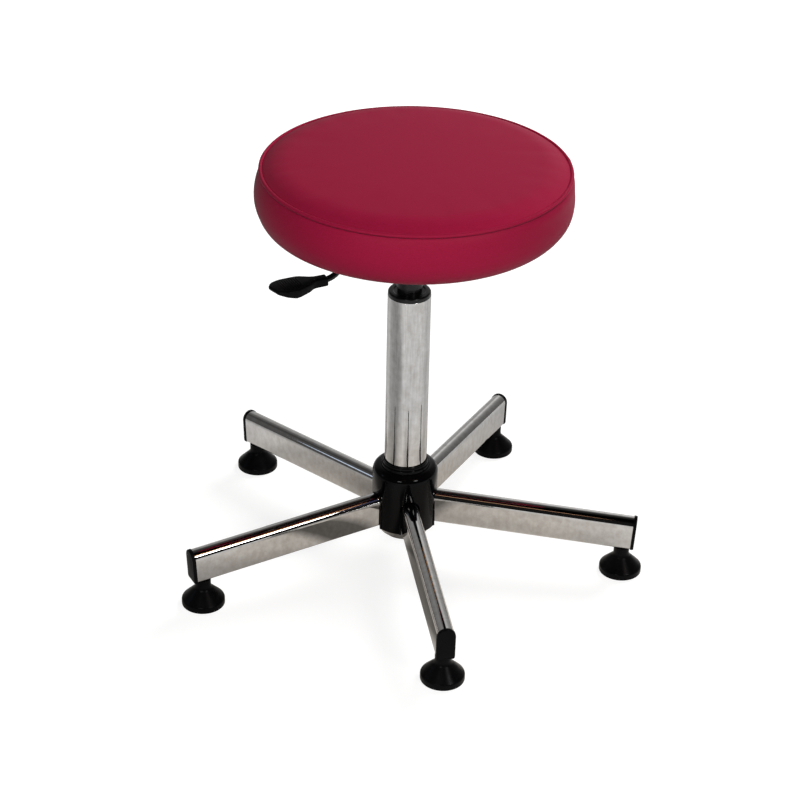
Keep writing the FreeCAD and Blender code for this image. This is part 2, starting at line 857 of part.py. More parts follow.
def make_gas_spring():
    """The cylinder that carries the seat, with its rod guide, valve body and release pin."""
    turned(
        "gas_cylinder",
        [
            (cylinder_bore, cylinder_bottom),
            (d.cylinder_radius, cylinder_bottom),
            (d.cylinder_radius, d.cylinder_taper_start),
            (d.cylinder_top_radius, d.cylinder_top),
            (cylinder_neck_bore, d.cylinder_top),
            (cylinder_neck_bore, valve_top),
            (cylinder_bore, valve_top),
        ],
    )
    guide_bore = d.rod_radius + d.running_clearance
    washer("rod_guide", guide_bore, cylinder_bore, d.rod_guide_length, z=cylinder_bottom)
    pin_bore = d.pin_radius + d.running_clearance
    turned(
        "valve_body",
        [
            (0, d.valve_bottom),
            (cylinder_bore, d.valve_bottom),
            (cylinder_bore, valve_top),
            (cylinder_neck_bore, valve_top),
            (cylinder_neck_bore, d.cylinder_top),
            (pin_bore, d.cylinder_top),
            (pin_bore, d.cylinder_top - d.valve_bore_depth),
            (0, d.cylinder_top - d.valve_bore_depth),
        ],
    )
    dome_rise = d.pin_dome_radius - side_of(d.pin_dome_radius, d.pin_radius)
    turned(
        "release_pin",
        [
            (0, 0),
            (d.pin_radius, 0),
            (d.pin_radius, d.pin_length - dome_rise, d.pin_dome_radius, 1),
            (0, d.pin_length),
        ],
        z=pin_top - d.pin_length,
    )


# Lever. Its heights start from the nose's flat, just above the release pin.
pin_top = d.cylinder_top + d.pin_stand
nose_height = pin_top + d.face_gap
pivot_height = nose_height - d.pivot_below_nose
rod_height = nose_height + d.lever_rod_height
grip_height = rod_height - d.lever_drop
paddle_start = d.lever_bend_end + d.paddle_beyond_bend
housing_inside = d.housing_floor + d.housing_wall
plate_top = d.board_bottom - d.cloth_thickness
plate_bottom = plate_top - d.plate_thickness
plate_side = d.plate_hole_spacing + 2 * d.plate_hole_to_edge


def make_lever_rod():
    """Bent steel rod: level from the rocker, down under the seat, and level in the paddle."""
    body = new_body("lever_rod")
    route = sketch_on(body, "rod_route", "XZ_Plane")
    start = (d.rod_socket_start, rod_height)
    knee = (d.lever_bend_start, rod_height)
    ankle = (d.lever_bend_end, grip_height)
    tip = (paddle_start + d.paddle_rod_depth, grip_height)
    fall = math.atan2(d.lever_drop.value, d.lever_bend_end.value - d.lever_bend_start.value)
    setback = d.lever_bend_radius.value * math.tan(fall / 2)
    down = FreeCAD.Vector(math.cos(fall), -math.sin(fall), 0)
    level = FreeCAD.Vector(1, 0, 0)
    first, second, third, fourth = (
        FreeCAD.Vector(Term.of(x).value, Term.of(y).value, 0) for x, y in (start, knee, ankle, tip)
    )
    radius = d.lever_bend_radius.value
    runs = [
        sketch_line(route, first, second - level * setback),
        sketch_line(route, second + down * setback, third - down * setback),
        sketch_line(route, third + level * setback, fourth),
    ]
    bends = [
        route.addGeometry(arc_between(second - level * setback, second + down * setback, radius, -1)),
        route.addGeometry(arc_between(third - down * setback, third + level * setback, radius, 1)),
    ]
    pin_point(route, runs[0], 1, *start)
    pin_point(route, runs[2], 2, *tip)
    for run in (runs[0], runs[2]):
        route.addConstraint(Sketcher.Constraint("Horizontal", run))
    for before, bend, after, enter, leave in (
        (runs[0], bends[0], runs[1], 2, 1),
        (runs[1], bends[1], runs[2], 1, 2),
    ):
        route.addConstraint(Sketcher.Constraint("Tangent", before, 2, bend, enter))
        route.addConstraint(Sketcher.Constraint("Tangent", bend, leave, after, 1))
        index = route.addConstraint(Sketcher.Constraint("Radius", bend, radius))
        bind(route, f"Constraints[{index}]", d.lever_bend_radius)
    corners = (second, third)
    for corner, (x, y), run in zip(corners, (knee, ankle), (runs[0], runs[2])):
        mark = route.addGeometry(Part.Point(corner), True)
        pin_axis(route, mark, 1, "DistanceX", -2, x)
        route.addConstraint(Sketcher.Constraint("PointOnObject", mark, 1, run))
        route.addConstraint(Sketcher.Constraint("PointOnObject", mark, 1, runs[1]))
    section = sketch_on(body, "rod_section", "YZ_Plane", d.rod_socket_start, rod_height)
    circle_in(section, 0, 0, d.lever_rod_radius)
    pipe = body.newObject("PartDesign::AdditivePipe", "rod_pipe")
    pipe.Profile = section
    pipe.Spine = (route, [])
    place(body, turn=d.lever_azimuth)
    keep(body, "lever_rod")


def sketch_line(sketch, start, end):
    """Add one line to a sketch."""
    return sketch.addGeometry(Part.LineSegment(start, end))


def make_rocker():
    """The block on the pivot pin whose nose presses the release pin."""
    body = new_body("lever_rocker")
    side = sketch_on(body, "rocker_side", "XZ_Plane", -d.rocker_width / 2)
    lug_low = pivot_height - d.pivot_radius - d.running_clearance - d.pivot_lug_wall
    top = nose_height + d.rocker_height
    draw(
        side,
        [
            (-d.rocker_inner_end, nose_height),
            (d.pivot_offset - d.pivot_lug, nose_height),
            (d.pivot_offset - d.pivot_lug, lug_low),
            (d.pivot_offset + d.pivot_lug, lug_low),
            (d.pivot_offset + d.pivot_lug, nose_height),
            (d.rocker_outer_end, nose_height),
            (d.rocker_outer_end, top),
            (-d.rocker_inner_end, top),
        ],
    )
    circle_in(side, d.pivot_offset, pivot_height, d.pivot_radius + d.running_clearance)
    pad(body, side, d.rocker_width)
    bore = sketch_on(body, "rocker_bore", "YZ_Plane", d.rod_socket_start, rod_height)
    circle_in(bore, 0, 0, d.lever_rod_radius)
    pocket(body, bore, d.rocker_outer_end, backwards=True)
    place(body, turn=d.lever_azimuth)
    keep(body, "lever_rocker")


def make_paddle():
    """Moulded grip: a narrow neck over the rod that widens to a flat, ribbed end."""
    body = new_body("lever_paddle")
    plan = sketch_on(body, "paddle_plan", "XY_Plane", grip_height - d.paddle_height / 2)
    neck_end = paddle_start + d.paddle_neck_length
    wide = neck_end + d.paddle_shoulder_length
    tip = paddle_start + d.paddle_length
    corner = d.paddle_corner_radius
    draw(
        plan,
        [
            (paddle_start, -d.paddle_neck_half_width),
            (neck_end, -d.paddle_neck_half_width),
            (wide, -d.paddle_half_width),
            (tip - corner, -d.paddle_half_width, corner, 1),
            (tip, corner - d.paddle_half_width),
            (tip, d.paddle_half_width - corner, corner, 1),
            (tip - corner, d.paddle_half_width),
            (wide, d.paddle_half_width),
            (neck_end, d.paddle_neck_half_width),
            (paddle_start, d.paddle_neck_half_width),
        ],
    )
    blank = pad(body, plan, d.paddle_height)
    top = grip_height.value + d.paddle_height.value / 2
    bottom = top - d.paddle_height.value

    def on_broad_faces(middle, edge):
        on_face = min(abs(middle.z - top), abs(middle.z - bottom)) < 0.01
        return on_face and middle.x > paddle_start.value + 0.01

    soft = rounded(body, blank, d.paddle_edge_radius, on_broad_faces, "paddle_round")
    bore = sketch_on(body, "paddle_bore", "YZ_Plane", paddle_start, grip_height)
    circle_in(bore, 0, 0, d.lever_rod_radius)
    pocket(body, bore, d.paddle_rod_depth, backwards=True)
    rib = sketch_on(body, "paddle_rib", "XY_Plane", grip_height + d.paddle_height / 2 - d.paddle_rib_height)
    near = paddle_start + d.paddle_rib_start
    far = near + d.paddle_rib_width
    half = d.paddle_rib_half_length
    draw(rib, [(near, -half), (far, -half), (far, half), (near, half)])
    first_rib = pad(body, rib, d.paddle_rib_height * 2)
    ribs = body.newObject("PartDesign::LinearPattern", "paddle_ribs")
    ribs.Originals = [first_rib]
    ribs.Direction = (rib, ["H_Axis"])
    bind(ribs, "Length", d.paddle_rib_pitch * (PADDLE_RIB_COUNT - 1))
    ribs.Occurrences = PADDLE_RIB_COUNT
    body.Tip = ribs
    place(body, turn=d.lever_azimuth)
    keep(body, "lever_paddle")


def make_pivot_pin():
    """Headed pin across the housing, on which the rocker turns."""
    body = new_body("pivot_pin")
    half_span = d.housing_width / 2
    shank = sketch_on(body, "pivot_shank", "XZ_Plane", -half_span)
    circle_in(shank, d.pivot_offset, pivot_height, d.pivot_radius)
    pad(body, shank, d.housing_width)
    for name, along in (("near", -half_span - d.pivot_head), ("far", half_span)):
        head = sketch_on(body, f"pivot_head_{name}", "XZ_Plane", along)
        circle_in(head, d.pivot_offset, pivot_height, d.pivot_head_radius)
        pad(body, head, d.pivot_head)
    place(body, turn=d.lever_azimuth)
    keep(body, "pivot_pin")


def make_housing():
    """Pressed channel under the plate: it holds the cone socket and the lever's pivot pin."""
    body = new_body("lever_housing")
    section = sketch_on(body, "housing_section", "YZ_Plane", -d.housing_inner_end)
    half = d.housing_width / 2
    inner = half - d.housing_wall
    draw(
        section,
        [
            (-half, d.housing_floor),
            (half, d.housing_floor),
            (half, plate_bottom),
            (inner, plate_bottom),
            (inner, housing_inside),
            (-inner, housing_inside),
            (-inner, plate_bottom),
            (-half, plate_bottom),
        ],
    )
    pad(body, section, d.housing_inner_end + d.housing_outer_end)
    hole = sketch_on(body, "housing_cone_hole", "XY_Plane", d.housing_floor)
    circle_in(hole, 0, 0, d.cone_radius)
    pocket(body, hole, d.housing_wall, backwards=True)
    pin_hole = sketch_on(body, "housing_pin_hole", "XZ_Plane", -half)
    circle_in(pin_hole, d.pivot_offset, pivot_height, d.pivot_radius)
    pocket(body, pin_hole, d.housing_width, backwards=True)
    place(body, turn=d.lever_azimuth)
    keep(body, "lever_housing")


def make_cone_socket():
    """Tapered socket that the gas spring's upper end is wedged in."""
    top = d.cylinder_top + d.cone_above_cylinder
    turned(
        "cone_socket",
        [
            (d.cylinder_radius, d.cone_bottom),
            (d.cone_radius - d.cone_edge_break, d.cone_bottom),
            (d.cone_radius, d.cone_bottom + d.cone_edge_break),
            (d.cone_radius, top),
            (d.cylinder_top_radius, top),
            (d.cylinder_top_radius, d.cylinder_top),
            (d.cylinder_radius, d.cylinder_taper_start),
        ],
    )


def at_plate_holes(make):
    """Make one copy of a piece at each of the plate's four holes."""
    half = d.plate_hole_spacing / 2
    copies = []
    for number, (side, end) in enumerate(((1, 1), (-1, 1), (-1, -1), (1, -1)), start=1):
        copies.append(make(number, half * side, half * end))
    return copies


def make_seat_plate():
    """Pressed steel plate with a turned-down rim and four fixing holes."""
    body = new_body("seat_plate")
    half = plate_side / 2

    def rounded_square(reach, corner):
        return [
            (corner - reach, -reach),
            (reach - corner, -reach, corner, 1),
            (reach, corner - reach),
            (reach, reach - corner, corner, 1),
            (reach - corner, reach),
            (corner - reach, reach, corner, 1),
            (-reach, reach - corner),
            (-reach, corner - reach, corner, 1),
        ]

    blank = sketch_on(body, "plate_blank", "XY_Plane", plate_top - d.plate_rim_height)
    draw(blank, rounded_square(half, d.plate_corner_radius))
    pad(body, blank, d.plate_rim_height)
    pan = sketch_on(body, "plate_pan", "XY_Plane", plate_top - d.plate_rim_height)
    draw(pan, rounded_square(half - d.plate_thickness, d.plate_corner_radius - d.plate_thickness))
    pocket(body, pan, d.plate_rim_height - d.plate_thickness, backwards=True)
    holes = sketch_on(body, "plate_holes", "XY_Plane", plate_bottom)
    at_plate_holes(lambda number, x, y: circle_in(holes, x, y, d.plate_hole_radius))
    pocket(body, holes, d.plate_thickness, backwards=True)
    place(body, turn=d.lever_azimuth)
    keep(body, "seat_plate")


board_top = d.board_bottom + d.board_thickness
hem_bottom = d.board_bottom - d.cover_thickness


def make_screws():
    """Four round-headed screws that hold the plate to the board."""

    def screw(number, x, y):
        head_bottom = plate_bottom - d.screw_head_height
        shank_length = board_top - plate_bottom
        head = cylinder(f"screw_head_{number}", d.screw_head_radius, d.screw_head_height, x, y, head_bottom)
        shank = cylinder(f"screw_shank_{number}", d.screw_radius, shank_length, x, y, plate_bottom)
        return joined(f"screw_{number}", [head, shank])

    group = side_by_side("plate_screws", at_plate_holes(screw))
    place(group, turn=d.lever_azimuth)
    keep(group, "plate_screws")


def make_tee_nuts():
    """Four flanged nuts let into the board from above, their flanges flush with it."""

    def tee_nut(number, x, y):
        length = d.tee_nut_length
        bottom = board_top - length
        flange_bottom = board_top - d.tee_nut_flange
        flange_radius = d.tee_nut_flange_radius
        flange = cylinder(f"tee_flange_{number}", flange_radius, d.tee_nut_flange, x, y, flange_bottom)
        barrel = cylinder(f"tee_barrel_{number}", d.tee_nut_barrel_radius, length, x, y, bottom)
        whole = joined(f"tee_blank_{number}", [flange, barrel])
        bore = cylinder(f"tee_bore_{number}", d.screw_radius, length, x, y, bottom)
        return less(f"tee_nut_{number}", whole, bore)

    group = side_by_side("tee_nuts", at_plate_holes(tee_nut))
    place(group, turn=d.lever_azimuth)
    keep(group, "tee_nuts")


def make_board():
    """Round plywood board, drilled and counterbored for the four nuts."""
    body = new_body("seat_board")
    disc = sketch_on(body, "board_disc", "XY_Plane", d.board_bottom)
    circle_in(disc, 0, 0, d.board_radius)
    pad(body, disc, d.board_thickness)
    holes = sketch_on(body, "board_holes", "XY_Plane", d.board_bottom)
    at_plate_holes(lambda number, x, y: circle_in(holes, x, y, d.tee_nut_barrel_radius))
    pocket(body, holes, d.board_thickness, backwards=True)
    recesses = sketch_on(body, "board_recesses", "XY_Plane", board_top - d.tee_nut_flange)
    at_plate_holes(lambda number, x, y: circle_in(recesses, x, y, d.tee_nut_flange_radius))
    pocket(body, recesses, d.tee_nut_flange, backwards=True)
    place(body, turn=d.lever_azimuth)
    keep(body, "seat_board")


def make_underside_cloth():
    """Thin lining between the plate and the board, whose rim steps down over the cover's hem."""
    body = new_body("underside_cloth")
    section = sketch_on(body, "cloth_section", "XZ_Plane")
    step_in = d.hem_radius - d.cloth_inset - d.cloth_thickness
    step_out = d.hem_radius - d.cloth_inset
    draw(
        section,
        [
            (0, plate_top),
            (step_in, plate_top),
            (step_in, hem_bottom - d.cloth_thickness),
            (d.cloth_radius, hem_bottom - d.cloth_thickness),
            (d.cloth_radius, hem_bottom),
            (step_out, hem_bottom),
            (step_out, d.board_bottom),
            (0, d.board_bottom),
        ],
    )
    revolve(body, section)
    holes = sketch_on(body, "cloth_holes", "XY_Plane", plate_top)
    at_plate_holes(lambda number, x, y: circle_in(holes, x, y, d.plate_hole_radius))
    pocket(body, holes, d.cloth_thickness, backwards=True)
    place(body, turn=d.lever_azimuth)
    keep(body, "underside_cloth")


# Upholstery. Each skin's outer and inner arcs share their centres, so its thickness is even.


class Flank:
    """An arc that leaves the side's widest line upright and ends at a point inside it."""

    def __init__(self, start, inset, fall):
        self.start = start
        self.radius = (inset * inset + fall * fall) / (inset * 2)
        self.end = (start[0] - inset, start[1] - fall)

    def end_point(self, depth):
        """End of the same arc at a depth inside the skin."""
        share = (self.radius - depth) / self.radius
        centre = self.start[0] - self.radius
        across = centre + (self.end[0] - centre) * share
        return across, self.start[1] + (self.end[1] - self.start[1]) * share


bulge = (d.board_radius + d.bulge_overhang, d.board_bottom + d.bulge_rise)
upper_flank = Flank(bulge, d.seam_inset, -d.seam_rise)
lower_flank = Flank(bulge, d.bulge_overhang - d.tuck_overhang, d.bulge_rise + d.tuck_drop)
top_edge = (
    upper_flank.end[0] - d.seam_opening * sine(d.seam_lean_angle),
    upper_flank.end[1] + d.seam_opening * cosine(d.seam_lean_angle),
)
roll_centre = (
    top_edge[0] - d.roll_radius * sine(d.roll_end_angle),
    top_edge[1] - d.roll_radius * cosine(d.roll_end_angle),
)
crown_reach = d.crown_radius - d.roll_radius
crown_depth = side_of(crown_reach, roll_centre[0])
crown_top = roll_centre[1] - crown_depth + d.crown_radius


def crown_point(depth):
    """Point where the crown meets the roll at the seat's edge, at a depth inside the skin."""
    share = (d.crown_radius - depth) / crown_reach
    return roll_centre[0] * share, crown_top - d.crown_radius + crown_depth * share


def roll_point(depth):
    """Lower end of the roll, beside the piping, at a depth inside the skin."""
    reach = d.roll_radius - depth
    return (
        roll_centre[0] + reach * sine(d.roll_end_angle),
        roll_centre[1] + reach * cosine(d.roll_end_angle),
    )


def make_upholstery():
    """Foam, the top and side of its cover, the piping between them and the staples."""
    skin = d.cover_thickness
    seam_in = upper_flank.end_point(skin)
    tuck_in = lower_flank.end_point(skin)
    bulge_in = (bulge[0] - skin, bulge[1])
    turned(
        "seat_foam",
        [
            (0, board_top),
            (d.board_radius, board_top),
            (d.board_radius, d.board_bottom),
            (*tuck_in, lower_flank.radius - skin, 1),
            (*bulge_in, upper_flank.radius - skin, 1),
            seam_in,
            (*roll_point(skin), d.roll_radius - skin, 1),
            (*crown_point(skin), d.crown_radius - skin, 1),
            (0, crown_top - skin),
        ],
    )
    turned(
        "seat_cover_side",
        [
            (*lower_flank.end, lower_flank.radius, 1),
            (*bulge, upper_flank.radius, 1),
            upper_flank.end,
            (*seam_in, upper_flank.radius - skin, -1),
            (*bulge_in, lower_flank.radius - skin, -1),
            tuck_in,
            (d.board_radius, d.board_bottom),
            (d.hem_radius, d.board_bottom),
            (d.hem_radius, hem_bottom),
            (d.board_radius + d.hem_turn, hem_bottom),
        ],
    )
    turned(
        "seat_cover_top",
        [
            (0, crown_top - skin, d.crown_radius - skin, -1),
            (*crown_point(skin), d.roll_radius - skin, -1),
            roll_point(skin),
            (*top_edge, d.roll_radius, 1),
            (*crown_point(0), d.crown_radius, 1),
            (0, crown_top),
        ],
    )
    roll_in = roll_point(skin)
    run = seam_in[0] - roll_in[0]
    fall = roll_in[1] - seam_in[1]
    offset = (d.piping_radius + d.piping_gap) / length_of(run, fall)
    ring = doc.addObject("Part::Torus", "piping_ring")
    bind(ring, "Radius1", (seam_in[0] + roll_in[0]) / 2 + fall * offset)
    bind(ring, "Radius2", d.piping_radius)
    place(ring, z=(seam_in[1] + roll_in[1]) / 2 + run * offset)
    keep(ring, "seat_piping")
    staples = []
    for number in range(STAPLE_COUNT):
        azimuth = Term.of(360.0 / STAPLE_COUNT * number)
        staple = doc.addObject("Part::Box", f"staple_{number + 1}")
        bind(staple, "Length", d.staple_width)
        bind(staple, "Width", d.staple_length)
        bind(staple, "Height", d.staple_height)
        half_length = d.staple_length / 2
        x = d.staple_circle_radius * cosine(azimuth) + half_length * sine(azimuth)
        y = d.staple_circle_radius * sine(azimuth) - half_length * cosine(azimuth)
        place(staple, x, y, hem_bottom - d.cloth_thickness - d.staple_height, azimuth)
        staples.append(staple)
    keep(side_by_side("staples", staples), "staples")


def check_document():
    """Stop if any object failed or any sub-part has no sound shape."""
    for thing in doc.Objects:
        if "Invalid" in thing.State or "Error" in thing.State:
            raise RuntimeError(f"{thing.Label} is {thing.State}")
    for thing in nodes:
        if thing.Shape.isNull() or not thing.Shape.isValid():
            raise RuntimeError(f"{thing.Label} has no valid shape")


def write_parts():
    """Write one STEP file for each sub-part."""
    os.makedirs("parts", exist_ok=True)
    for thing in nodes:
        thing.Shape.exportStep(f"parts/{thing.Label}.step")


make_base_arms()
make_hub_sleeve()
make_hub_cover()
make_column()
make_thrust_bearing()
make_spindle()
make_gas_spring()
make_lever_rod()
make_rocker()
make_paddle()
make_pivot_pin()
make_cone_socket()
make_housing()
make_seat_plate()
make_screws()
make_tee_nuts()
make_board()
make_underside_cloth()
make_upholstery()
doc.recompute()
check_document()
write_parts()
for piece in nodes:
    shape = piece.Shape
    print(f"{piece.Label:22s} solids {len(shape.Solids):3d} volume {shape.Volume:12.2f}")
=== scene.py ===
"""Round swivel stool with a piped vinyl seat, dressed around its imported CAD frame.

The rigid chromed and moulded pieces are modelled again with finer edges, the seat is inflated as a padded
piece, and what is hidden or plain keeps its CAD mesh with a finish of its own. Sizes are in millimetres.
"""

from __future__ import annotations

import logging
import math
from collections.abc import Callable, Iterable, Sequence
from dataclasses import dataclass
from enum import Enum

import bmesh
import bpy
from mathutils import Matrix, Vector, noise

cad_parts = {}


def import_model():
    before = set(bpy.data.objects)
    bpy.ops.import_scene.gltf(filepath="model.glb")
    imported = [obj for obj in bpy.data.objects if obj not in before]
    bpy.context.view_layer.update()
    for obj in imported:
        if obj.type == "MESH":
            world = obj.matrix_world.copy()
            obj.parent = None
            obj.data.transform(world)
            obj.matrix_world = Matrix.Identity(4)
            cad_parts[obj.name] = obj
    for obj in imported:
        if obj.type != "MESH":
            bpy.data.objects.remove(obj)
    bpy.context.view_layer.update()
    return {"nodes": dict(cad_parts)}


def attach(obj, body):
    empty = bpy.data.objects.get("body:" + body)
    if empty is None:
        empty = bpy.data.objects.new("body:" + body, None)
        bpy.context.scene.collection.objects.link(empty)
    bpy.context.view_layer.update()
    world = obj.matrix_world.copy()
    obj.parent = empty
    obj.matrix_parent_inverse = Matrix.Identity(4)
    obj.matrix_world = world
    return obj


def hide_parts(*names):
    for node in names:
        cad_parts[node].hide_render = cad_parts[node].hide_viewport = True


log = logging.getLogger("stool")

Corner = tuple[float, float, float]  # distance from the axis, height and rounding, in millimetres
Ring = tuple[float, float]  # radius and height, in millimetres
Wire = tuple[bpy.types.Node, str]  # a node and the name of its output
ARM_COUNT = 5
FIRST_ARM = -90.0  # azimuth of the first arm, in degrees
FOUND = 0.001  # a corner this near to a place is the one meant, in millimetres
MERGED = 0.002  # corners this near to each other become one, in millimetres
HAIR = 0.01  # a distance too small to see, in millimetres


class Grain(Enum):
    """Kinds of mesh element that a selection can hold."""

    VERTEX = ("verts", (True, False, False))
    EDGE = ("edges", (False, True, False))


def mm(value: float) -> float:
    """Turn millimetres into metres."""
    return value / 1000.0


def point(x: float, y: float, z: float) -> Vector:
    """Give a place in metres from its coordinates in millimetres."""
    return Vector((mm(x), mm(y), mm(z)))


def deselect() -> None:
    """Leave edit mode and select nothing."""
    if bpy.context.object is not None and bpy.context.object.mode != "OBJECT":
        bpy.ops.object.mode_set(mode="OBJECT")
    bpy.ops.object.select_all(action="DESELECT")


def activate(piece: bpy.types.Object) -> None:
    """Select one piece alone and make it the active one.

    Args:
        piece: The object.
    """
    deselect()
    bpy.context.view_layer.objects.active = piece
    piece.select_set(True)


def named(name: str) -> bpy.types.Object:
    """Name the object that an operator has just added, and its mesh.

    Args:
        name: Name of the piece.

    Returns:
        The active object.
    """
    piece = bpy.context.object
    piece.name = name
    piece.data.name = name
    return piece


def open_mesh() -> None:
    """Open the active object for editing, in vertices, with all of it selected."""
    bpy.ops.object.mode_set(mode="EDIT")
    bpy.context.tool_settings.mesh_select_mode = (True, False, False)
    bpy.ops.mesh.select_all(action="SELECT")


def close_mesh() -> None:
    """Merge doubled corners of the open mesh, turn its faces outwards and close it."""
    bpy.ops.mesh.select_all(action="SELECT")
    bpy.ops.mesh.remove_doubles(threshold=mm(MERGED))
    bpy.ops.mesh.normals_make_consistent(inside=False)
    bpy.ops.object.mode_set(mode="OBJECT")


def pick(piece: bpy.types.Object, grain: Grain, test: Callable[..., bool]) -> None:
    """Select, in the open mesh, just what passes a test.

    Args:
        piece: The object that is open for editing.
        grain: Kind of element to select.
        test: Takes an element and says whether it is selected.
    """
    bpy.ops.mesh.select_all(action="DESELECT")
    kind, mode = grain.value
    bpy.context.tool_settings.mesh_select_mode = mode
    sheet = bmesh.from_edit_mesh(piece.data)
    for item in getattr(sheet, kind):
        if test(item):
            item.select_set(True)
    bmesh.update_edit_mesh(piece.data)


def apply_all(piece: bpy.types.Object) -> None:
    """Apply the modifiers of a piece and the turn and place of its object.

    Args:
        piece: The object to settle.
    """
    activate(piece)
    for modifier in list(piece.modifiers):
        bpy.ops.object.modifier_apply(modifier=modifier.name)
    bpy.ops.object.transform_apply(location=True, rotation=True, scale=True)


def smooth(piece: bpy.types.Object, angle: float = 35.0) -> None:
    """Shade a piece smooth except across its sharper edges.

    Args:
        piece: The object to shade.
        angle: Largest angle, in degrees, that is still smooth.
    """
    activate(piece)
    bpy.ops.object.shade_smooth_by_angle(angle=math.radians(angle))


def soften(piece: bpy.types.Object, width: float, segments: int, angle: float = 30.0) -> None:
    """Round the edges of a piece that are sharper than an angle.

    Args:
        piece: The object.
        width: Width of the round, in millimetres.
        segments: Strips of faces in the round.
        angle: Largest angle, in degrees, that is left as it is.
    """
    bevel = piece.modifiers.new("edge_round", "BEVEL")
    bevel.width = mm(width)
    bevel.segments = segments
    bevel.limit_method = "ANGLE"
    bevel.angle_limit = math.radians(angle)
    apply_all(piece)


def share_of(value: float, start: float, over: float) -> float:
    """Give how far a value has come from a start, from 0 to 1 over a length."""
    return min(1.0, max(0.0, (value - start) / over))


def arm_azimuth(number: int) -> float:
    """Give the azimuth of an arm, counted from 0, in degrees."""
    return FIRST_ARM + 360.0 / ARM_COUNT * number


def rounding(before: Corner, here: Corner, after: Corner) -> float:
    """Work out how far from a corner its round starts.

    Args:
        before: Corner before this one.
        here: The corner, with its radius.
        after: Corner after this one.

    Returns:
        The distance along either side, in millimetres.
    """
    one = Vector((before[0] - here[0], before[1] - here[1]))
    other = Vector((after[0] - here[0], after[1] - here[1]))
    half = one.angle(other) / 2
    return here[2] / math.tan(half)


def draw_line(
    name: str, corners: Sequence[Corner], closed: bool, flat: bool, segments: int
) -> bpy.types.Object:
    """Draw a line of corners by extruding one vertex, and round the corners that have a radius.

    Args:
        name: Name of the new object.
        corners: Corners in order.
        closed: Whether the last corner joins the first.
        flat: Whether the line lies in plan, and not upright in a section.
        segments: Edges in each round.

    Returns:
        The object, left open for editing.
    """
    deselect()
    bpy.ops.mesh.primitive_plane_add(size=mm(1))
    piece = named(name)
    open_mesh()
    bpy.ops.mesh.merge(type="CENTER")

    def place(corner: Corner) -> Vector:
        """Put a corner in its plane."""
        return point(corner[0], corner[1], 0) if flat else point(corner[0], 0, corner[1])

    bpy.ops.transform.translate(value=place(corners[0]))
    for here, there in zip(corners, corners[1:]):
        step = place(there) - place(here)
        bpy.ops.mesh.extrude_region_move(TRANSFORM_OT_translate={"value": step})
    if closed:
        ends = [place(corners[0]), place(corners[-1])]
        pick(piece, Grain.VERTEX, lambda item: any((item.co - end).length < mm(FOUND) for end in ends))
        bpy.ops.mesh.edge_face_add()
    count = len(corners)
    for index, corner in enumerate(corners):
        if corner[2] <= 0:
            continue
        spot = place(corner)
        pick(piece, Grain.VERTEX, lambda item, spot=spot: (item.co - spot).length < mm(FOUND))
        offset = rounding(corners[index - 1], corner, corners[(index + 1) % count])
        bpy.ops.mesh.bevel(offset=mm(offset), affect="VERTICES", segments=segments, profile=0.5)
    return piece


def turned(
    name: str, corners: Sequence[Corner], closed: bool = False, steps: int = 96, segments: int = 6
) -> bpy.types.Object:
    """Turn a section round the upright axis, as on a lathe.

    Args:
        name: Name of the piece.
        corners: Section, as distance from the axis, height and rounding.
        closed: Whether the section is a ring that keeps off the axis.
        steps: Facets round the axis.
        segments: Edges in each rounded corner.

    Returns:
        The finished mesh object.
    """
    piece = draw_line(name, corners, closed, False, segments)
    bpy.ops.mesh.select_all(action="SELECT")
    bpy.ops.mesh.spin(steps=steps, angle=math.tau, center=(0, 0, 0), axis=(0, 0, 1))
    close_mesh()
    smooth(piece)
    return piece


def plate(
    name: str, corners: Sequence[Corner], low: float, high: float, segments: int
) -> bpy.types.Object:
    """Fill an outline in plan and raise it to a plate.

    Args:
        name: Name of the piece.
        corners: Outline, anticlockwise.
        low: Height of its lower face.
        high: Height of its upper face.
        segments: Edges in each rounded corner.

    Returns:
        The mesh object, closed and with its faces outwards.
    """
    piece = draw_line(name, corners, True, True, segments)
    bpy.ops.mesh.select_all(action="SELECT")
    bpy.ops.mesh.edge_face_add()
    bpy.ops.transform.translate(value=point(0, 0, low))
    bpy.ops.mesh.extrude_region_move(TRANSFORM_OT_translate={"value": point(0, 0, high - low)})
    close_mesh()
    return piece


def tombstone(name: str, width: float, height: float, length: float, foot: float) -> bpy.types.Object:
    """Shape a block along the x axis whose top is half round, as the arms' tube is.

    Args:
        name: Name of the piece.
        width: Across the block.
        height: From its underside to the top of the round.
        length: Along the block, from the origin.
        foot: Radius of the two lower edges.

    Returns:
        The mesh object, standing on the plane through the origin.
    """
    deselect()
    bpy.ops.mesh.primitive_cube_add(size=1, location=point(length / 2, 0, height / 2))
    piece = named(name)
    piece.scale = (mm(length), mm(width), mm(height))
    apply_all(piece)
    open_mesh()

    def along(edge: bmesh.types.BMEdge, low: float, high: float) -> bool:
        """Say whether an edge runs along the block between two heights in millimetres.

        Args:
            edge: The edge.
            low: Lower height.
            high: Upper height.

        Returns:
            Whether it is one of those.
        """
        one, other = (corner.co for corner in edge.verts)
        lengthwise = abs(one.x - other.x) > 0.9 * (one - other).length
        return lengthwise and mm(low) < (one.z + other.z) / 2 < mm(high)

    pick(piece, Grain.EDGE, lambda edge: along(edge, height / 2, math.inf))
    bpy.ops.mesh.bevel(offset=mm(width / 2 - HAIR), segments=14, profile=0.5, affect="EDGES")
    pick(piece, Grain.EDGE, lambda edge: along(edge, -math.inf, HAIR))
    bpy.ops.mesh.bevel(offset=mm(foot), segments=4, profile=0.5, affect="EDGES")
    close_mesh()
    return piece


